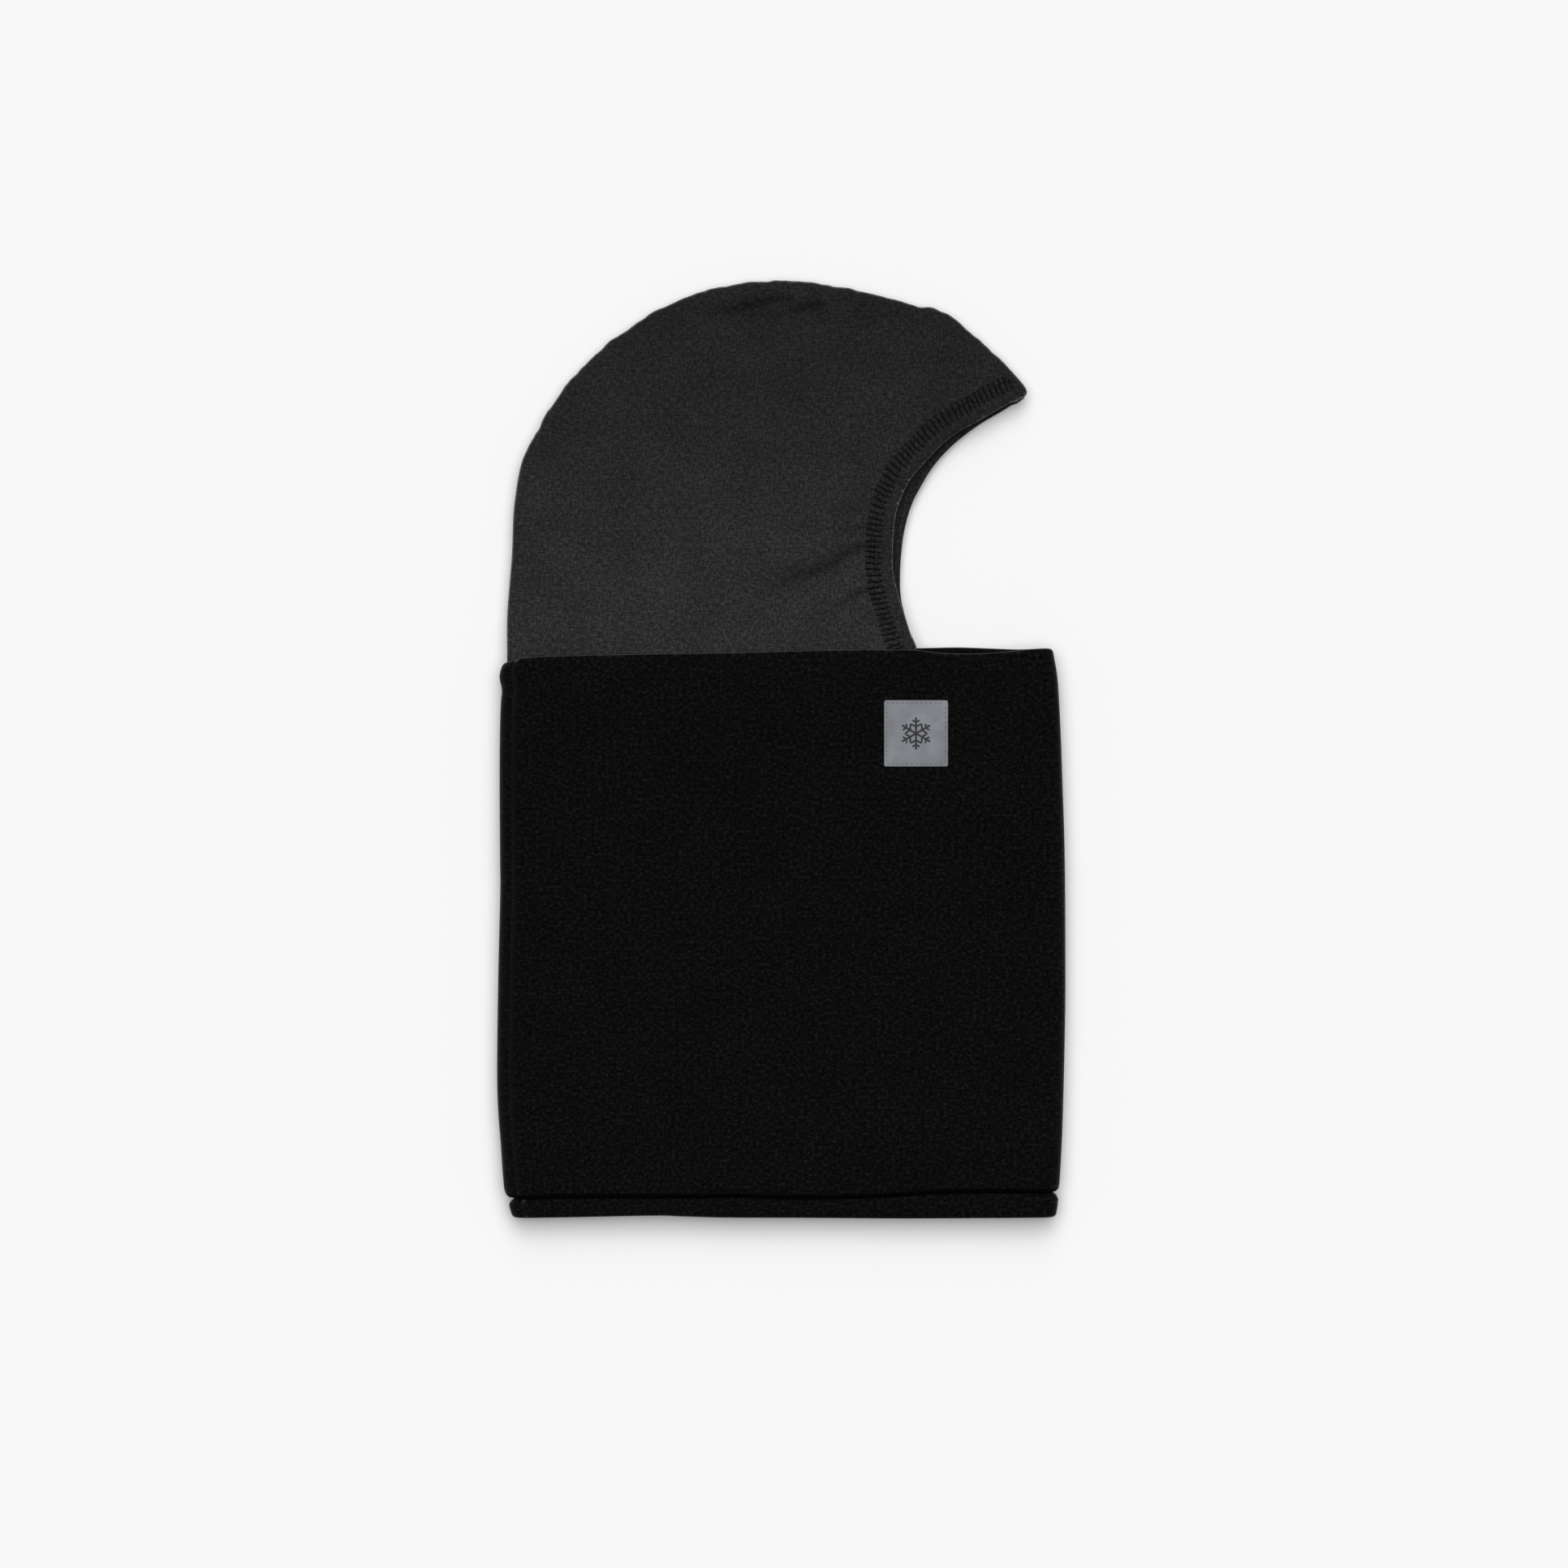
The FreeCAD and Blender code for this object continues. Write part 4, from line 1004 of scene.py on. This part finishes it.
# painted shade: a darker copy of the knit for the hem strip
shaded_hem_knit = brushed_jersey_knit("painted_shade_jersey_hem", "161616", "202020", "2D2D2D", (1.12, 0.7))
# painted highlight: a lighter copy of the knit for the folds of the hem and crown
highlight_fold_knit = brushed_jersey_knit("painted_highlight_jersey_fold", "363636", "494949", "5E5E5E", (1.12, 0.8))

# %% [markdown]
# The tube is anti-pill polyester fleece, knitted, then brushed and sheared so that a short dense pile hides
# the stitches. Black pile swallows light, and only fibres that stand up at an edge catch it, so it has
# almost no highlight but a clear sheen. The pile clumps at about 1.5 mm and a real fibre is 0.02 mm thick.
# They are drawn at 1.7 mm and 0.55 mm, so that they show. In the tuck above the band, the faces get a darker
# version without sheen: painted shade for the shadowed groove between tube and band.

# %% Sheared black fleece


def sheared_fleece(name, dark, middle, light, from_bottom_to_top, sheen):
    """Clumps of pile with fibres in them, and broad patches where the pile was brushed over."""
    material, tree = new_material(name)
    clumps = cloth_grain(tree, (1.7, 1.5), 13, 3.0)
    fibres = cloth_grain(tree, (0.55, 0.9), 17, 2.0)
    broad = cloth_grain(tree, (30, 26), 19)
    fine = add(tree, "ShaderNodeMath", {0: fibres, 1: 0.4}, operation="MULTIPLY")
    pile = add(tree, "ShaderNodeMath", {0: clumps, 1: 0.6, 2: fine}, operation="MULTIPLY_ADD")
    centred = add(tree, "ShaderNodeMath", {0: broad, 1: 0.5}, operation="SUBTRACT")
    value = add(tree, "ShaderNodeMath", {0: centred, 1: 0.06, 2: pile}, operation="MULTIPLY_ADD")
    colour = add(tree, "ShaderNodeValToRGB", {"Fac": value}, [(0.38, dark), (0.52, middle), (0.66, light)])
    faded = fading(tree, colour, 0.0, TOP - TUCK, from_bottom_to_top)
    bump = add(tree, "ShaderNodeBump", {"Height": pile, "Strength": 0.8, "Distance": 0.6 * MM})
    shader = add(tree, "ShaderNodeBsdfPrincipled", {
        "Base Color": faded, "Roughness": 1.0, "Specular IOR Level": 0.05, "IOR": 1.45,
        "Sheen Weight": sheen, "Sheen Roughness": 0.32, "Sheen Tint": linear("A8A8A8"), "Normal": bump})
    return finish_material(material, tree, shader)


black_fleece = sheared_fleece("sheared_black_fleece", "030303", "0A0A0A", "1B1B1B", (0.96, 0.9), 0.54)
# painted shade: a darker copy of the fleece without sheen, for the shadowed groove of the tuck
tuck_shade_fleece = sheared_fleece("painted_shade_tuck_fleece", "010101", "030303", "080808", (1.0, 1.0), 0.0)

# %% [markdown]
# Sewing thread is spun polyester: two plies twisted together, with a slight shine along the twist. Real
# twist is 0.2 mm long and is drawn at 0.35 mm. The patch is woven reflective tape, a plain weave with a
# silvery grey face. Its threads are about 0.3 mm apart and are drawn at 0.6 mm, so that the weave shows.
# The print on it is a matte ink, and the care ribbon is polyester satin, which is smoother across than
# along.

# %% Sewing thread
TWIST = 0.35  # mm


def spun_thread(name, dark, light):
    """Fine light and dark along the twist."""
    material, tree = new_material(name)
    place = add(tree, "ShaderNodeTexCoord", {})
    scaled = add(tree, "ShaderNodeVectorMath", {0: place.outputs["Object"], "Scale": 1 / (TWIST * MM)},
                 operation="SCALE")
    twist = add(tree, "ShaderNodeTexNoise", {"Vector": scaled, "Scale": 1.0, "Detail": 1.0})
    colour = add(tree, "ShaderNodeValToRGB", {"Fac": twist}, [(0.35, dark), (0.65, light)])
    bump = add(tree, "ShaderNodeBump", {"Height": twist, "Strength": 0.5, "Distance": 0.08 * MM})
    shader = add(tree, "ShaderNodeBsdfPrincipled", {
        "Base Color": colour, "Roughness": 0.7, "Specular IOR Level": 0.1, "Normal": bump})
    return finish_material(material, tree, shader)


black_thread = spun_thread("black_spun_thread", "010101", "080808")
loop_thread = spun_thread("charcoal_spun_thread", "0E0E0E", "202020")
grey_thread = spun_thread("grey_spun_thread", "66686F", "787A81")

# %% Reflective patch cloth
WEAVE_STEP = 0.6  # one thread of the weave, mm


def reflective_weave(name, low, high):
    """Two sets of bands that cross, under a cloudy silver."""
    material, tree = new_material(name)
    cut = add(tree, "ShaderNodeUVMap", {}, uv_map=UV_NAME)
    threads = {"Vector": cut, "Scale": 2 / (math.tau * WEAVE_STEP * MM), "Distortion": 0.6}
    warp = add(tree, "ShaderNodeTexWave", threads, bands_direction="X")
    weft = add(tree, "ShaderNodeTexWave", threads, bands_direction="Y")
    weave = add(tree, "ShaderNodeMath", {0: warp.outputs["Fac"], 1: weft.outputs["Fac"]},
                operation="MULTIPLY")
    cloudy = cloth_grain(tree, (9, 9), 23)
    silver = add(tree, "ShaderNodeMath", {0: cloudy, 1: 0.8}, operation="MULTIPLY")
    value = add(tree, "ShaderNodeMath", {0: weave, 1: 0.15, 2: silver}, operation="MULTIPLY_ADD")
    colour = add(tree, "ShaderNodeValToRGB", {"Fac": value}, [(0.2, low), (0.7, high)])
    bump = add(tree, "ShaderNodeBump", {"Height": weave, "Strength": 0.4, "Distance": 0.08 * MM})
    shader = add(tree, "ShaderNodeBsdfPrincipled", {
        "Base Color": colour, "Roughness": 0.55, "Metallic": 0.0, "Specular IOR Level": 0.4, "Normal": bump})
    return finish_material(material, tree, shader)


patch_weave = reflective_weave("silver_reflective_weave", "65676D", "7E8187")

# %% Ink and satin


def matte_finish(name, dark, light, roughness, grain_mm):
    """A plain finish whose tone varies a little with a fine grain, for ink and satin."""
    material, tree = new_material(name)
    place = add(tree, "ShaderNodeTexCoord", {})
    step = tuple(1 / (g * MM) for g in grain_mm)
    scaled = add(tree, "ShaderNodeVectorMath", {0: place.outputs["Object"], 1: step}, operation="MULTIPLY")
    grain = add(tree, "ShaderNodeTexNoise", {"Vector": scaled, "Scale": 1.0, "Detail": 2.0})
    colour = add(tree, "ShaderNodeValToRGB", {"Fac": grain}, [(0.3, dark), (0.7, light)])
    bump = add(tree, "ShaderNodeBump", {"Height": grain, "Strength": 0.3, "Distance": 0.05 * MM})
    shader = add(tree, "ShaderNodeBsdfPrincipled", {
        "Base Color": colour, "Roughness": roughness, "Specular IOR Level": 0.4, "Normal": bump})
    return finish_material(material, tree, shader)


dark_ink = matte_finish("dark_screen_print", "1A1A1E", "242428", 0.7, (0.3, 0.3, 0.3))
satin = matte_finish("black_polyester_satin", "101011", "1B1B1C", 0.35, (0.2, 3.0, 0.2))

# %% [markdown]
# ## Dressing and riding
#
# Each piece gets its finish and the CAD nodes that it stands for, and most get the body that they move
# with. The hood's pieces that cross the tube's edge are only fixed in place: ends of a bend are set, over
# 11 mm on the near half and over 20 mm on the far half, which goes the longer way round, but no blend
# between the two bodies is made.
# Stitches that the frame already has in the right place stay, with thread for a finish.

# %% Dress the pieces
BEND_START, BEND_END = (0, (TOP - 0.5) * MM, 0), (0, (TOP + 10.5) * MM, 0)
BEND_END_FAR = (0, (TOP + 20) * MM, 0)


def dress(piece, material, slot, *nodes):
    """A piece's finish and the CAD nodes that it stands for, which are hidden. slot is not used."""
    piece.data.materials.clear()
    piece.data.materials.append(material)
    if nodes:
        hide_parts(*nodes)
    return piece


dress(hood_right, hood_knit, "hood_knit", "hood_right_panel", "hood_right_neck_edge", "face_hem_right")
dress(hood_left, hood_knit, "hood_knit", "hood_left_panel", "hood_left_neck_edge", "face_hem_left")
dress(cover_right, black_thread, "thread_charcoal", "face_coverstitch_right")
dress(cover_left, black_thread, "thread_charcoal", "face_coverstitch_left")
for piece in (loops_right, loops_left):
    dress(piece, loop_thread, "thread_charcoal")
for piece in (inside_right, inside_left):
    dress(piece, black_thread, "thread_black")
crossing = {BEND_END: [hood_right, cover_right, loops_right, inside_right],
            BEND_END_FAR: [hood_left, cover_left, loops_left, inside_left]}
for bend_end, pieces in crossing.items():
    for piece in pieces:
        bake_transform(piece)
print(sum(len(pieces) for pieces in crossing.values()), "pieces bend with the hood")

# %% Pieces that ride on one body
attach(dress(crown_seam, hood_knit, "hood_knit", "crown_seam_allowance"), "hood")
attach(dress(crown_lock, loop_thread, "thread_charcoal", "crown_seam_overlock"), "hood")
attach(dress(gaiter_tube, black_fleece, "fleece", "gaiter_tube", "gaiter_top_facing"), "neck_tube")
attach(dress(gaiter_band, black_fleece, "fleece", "gaiter_bottom_band"), "neck_tube")
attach(dress(back_seam, black_fleece, "fleece", "gaiter_seam_allowance"), "neck_tube")
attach(dress(back_lock, black_thread, "thread_black", "gaiter_seam_overlock"), "neck_tube")
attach(dress(patch, patch_weave, "label_cloth", "label_patch"), "neck_tube")
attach(dress(patch_stitch, grey_thread, "thread_grey", "label_stitching"), "neck_tube")
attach(dress(ribbon, satin, "satin", "care_label"), "neck_tube")
print("the tube, its band, seam and labels stay; the crown seam goes with the hood")

# %% [markdown]
# The painted shade of the hem, the painted highlight on the folds and the painted shade in the tuck are parts
# of larger pieces.
# They could be cut off as pieces of their own, but cloth that is whole has no joins to hide. So each is a
# second finish on the same mesh, given to the faces that lie close to a seam line.

# %% Second finishes
HEM_SHADE_WIDTH = 13.0  # width of the painted shade along the hem, mm
FACE_HIGHLIGHT_REACH, CROWN_HIGHLIGHT_REACH, TUCK_SHADE_REACH = 0.7, 0.9, 1.2  # reach of the painted highlight on the folds and of the painted shade in the tuck, mm
LINE_STEP = 0.5  # the seam lines are cut this fine to measure from them


def refinish(piece, material, chosen):
    """A second finish for the faces whose middles, in mm, pass the test."""
    piece.data.materials.append(material)
    middles = np.zeros(len(piece.data.polygons) * 3, np.float32)
    piece.data.polygons.foreach_get("center", middles)
    picked = np.concatenate([chosen(part) for part in np.array_split(middles.reshape(-1, 3) / MM, 60)])
    finishes = np.zeros(len(piece.data.polygons), np.int32)
    piece.data.polygons.foreach_get("material_index", finishes)
    finishes[picked] = len(piece.data.materials) - 1
    piece.data.polygons.foreach_set("material_index", finishes)
    print(piece.name, int(picked.sum()), "faces of", material.name)


def on_fold(at):
    """Faces of the upper half on the fold of its hem or of the crown, which get the painted highlight."""
    at_face = gap_to(at[:, :2], even_steps(face_lines["right"], LINE_STEP)) < FACE_HIGHLIGHT_REACH
    at_crown = gap_to(at[:, :2], even_steps(crown_line, LINE_STEP)) < CROWN_HIGHLIGHT_REACH
    return (at_face | at_crown) & (at[:, 1] > TOP)


def in_tuck(at):
    """Faces of tube and band where they meet in the tuck, which get the painted shade."""
    return np.abs(at[:, 1] - TUCK - through(at[:, 0], TUCK_EDGE)) < TUCK_SHADE_REACH


for piece, side in ((hood_right, "right"), (hood_left, "left")):
    hem_line = even_steps(face_lines[side], LINE_STEP)
    refinish(piece, shaded_hem_knit, lambda at: gap_to(at[:, :2], hem_line) < HEM_SHADE_WIDTH)
refinish(hood_right, highlight_fold_knit, on_fold)
for piece in (gaiter_tube, gaiter_band):
    refinish(piece, tuck_shade_fleece, in_tuck)

# %% Stitches that keep their CAD shape
KEPT = {"label_motif": dark_ink, "neck_joining_stitch": black_thread, "gaiter_blindstitch": black_thread,
        "gaiter_tuck_stitch": black_thread}
for name, material in KEPT.items():
    for material_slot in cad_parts[name].material_slots:
        material_slot.material = material
print(len(KEPT), "nodes keep their shape")

# %% [markdown]

print("the cloth pieces are made")

# %% [markdown]
# ## Camera, floor and light
#
# The balaclava is seen from straight above, with the crown at the top. A long lens from 4 m away keeps its
# sides from leaning. The floor is a plain pale board. A very wide lamp overhead leans a little to the crown
# side, so that the soft shadow falls below the bottom band. A smaller one, low on the crown side, picks out
# the folds, and a dim even surround fills the rest. Area lamps would do as well, but a sun lights the whole
# board evenly.

# %% Camera
VIEW_WIDTH = 0.7264  # metres across the view, at the height of the cloth
VIEW_MIDDLE = (0.0011, -0.0158)
CAMERA_HEIGHT = 4.0  # metres above the cloth
CLOTH_HEIGHT = 0.012

camera_data = bpy.data.cameras.new("Camera")
camera_data.sensor_width = 36
camera_data.lens = camera_data.sensor_width * CAMERA_HEIGHT / VIEW_WIDTH
camera_data.clip_end = 20
camera = bpy.data.objects.new("Camera", camera_data)
camera.location = (*VIEW_MIDDLE, CAMERA_HEIGHT + CLOTH_HEIGHT)
bpy.context.scene.collection.objects.link(camera)
bpy.context.scene.camera = camera
print("lens", round(camera_data.lens), "mm")

# %% Floor and light
FLOOR_TONE = "F0F0F0"
SURROUND, OVERHEAD, CROWN_SIDE = 0.12, 2.70, 0.58  # strengths
FLOOR_GAP = 0.0002  # metres from the cloth down to the board


def matte_white_board():
    """Painted board without gloss, so that it only shows the soft shadow."""
    material, tree = new_material("matte_white_board")
    shader = add(tree, "ShaderNodeBsdfPrincipled", {
        "Base Color": linear(FLOOR_TONE), "Roughness": 0.9, "Specular IOR Level": 0.0})
    return finish_material(material, tree, shader)


bpy.ops.mesh.primitive_plane_add(size=30, location=(0, 0, -FLOOR_GAP))
floor = bpy.context.object
floor.name = "floor"
floor.data.materials.append(matte_white_board())

world = bpy.data.worlds.new("studio")
bpy.context.scene.world = world
world.use_nodes = True
world.node_tree.nodes["Background"].inputs["Color"].default_value = (1, 1, 1, 1)
world.node_tree.nodes["Background"].inputs["Strength"].default_value = SURROUND


def soft_light(name, strength, spread, tilt):
    """A far, wide lamp. spread is how wide it looks, tilt how far it leans to the crown side, in degrees."""
    data = bpy.data.lights.new(name, "SUN")
    data.energy, data.angle = strength, math.radians(spread)
    lamp = bpy.data.objects.new(name, data)
    lamp.rotation_euler = (math.radians(-tilt), 0, 0)
    bpy.context.scene.collection.objects.link(lamp)


soft_light("overhead", OVERHEAD, 73, 14)
soft_light("crown_side", CROWN_SIDE, 40, 48)
bpy.context.scene.view_settings.view_transform = "Standard"
print("two lamps and a surround")
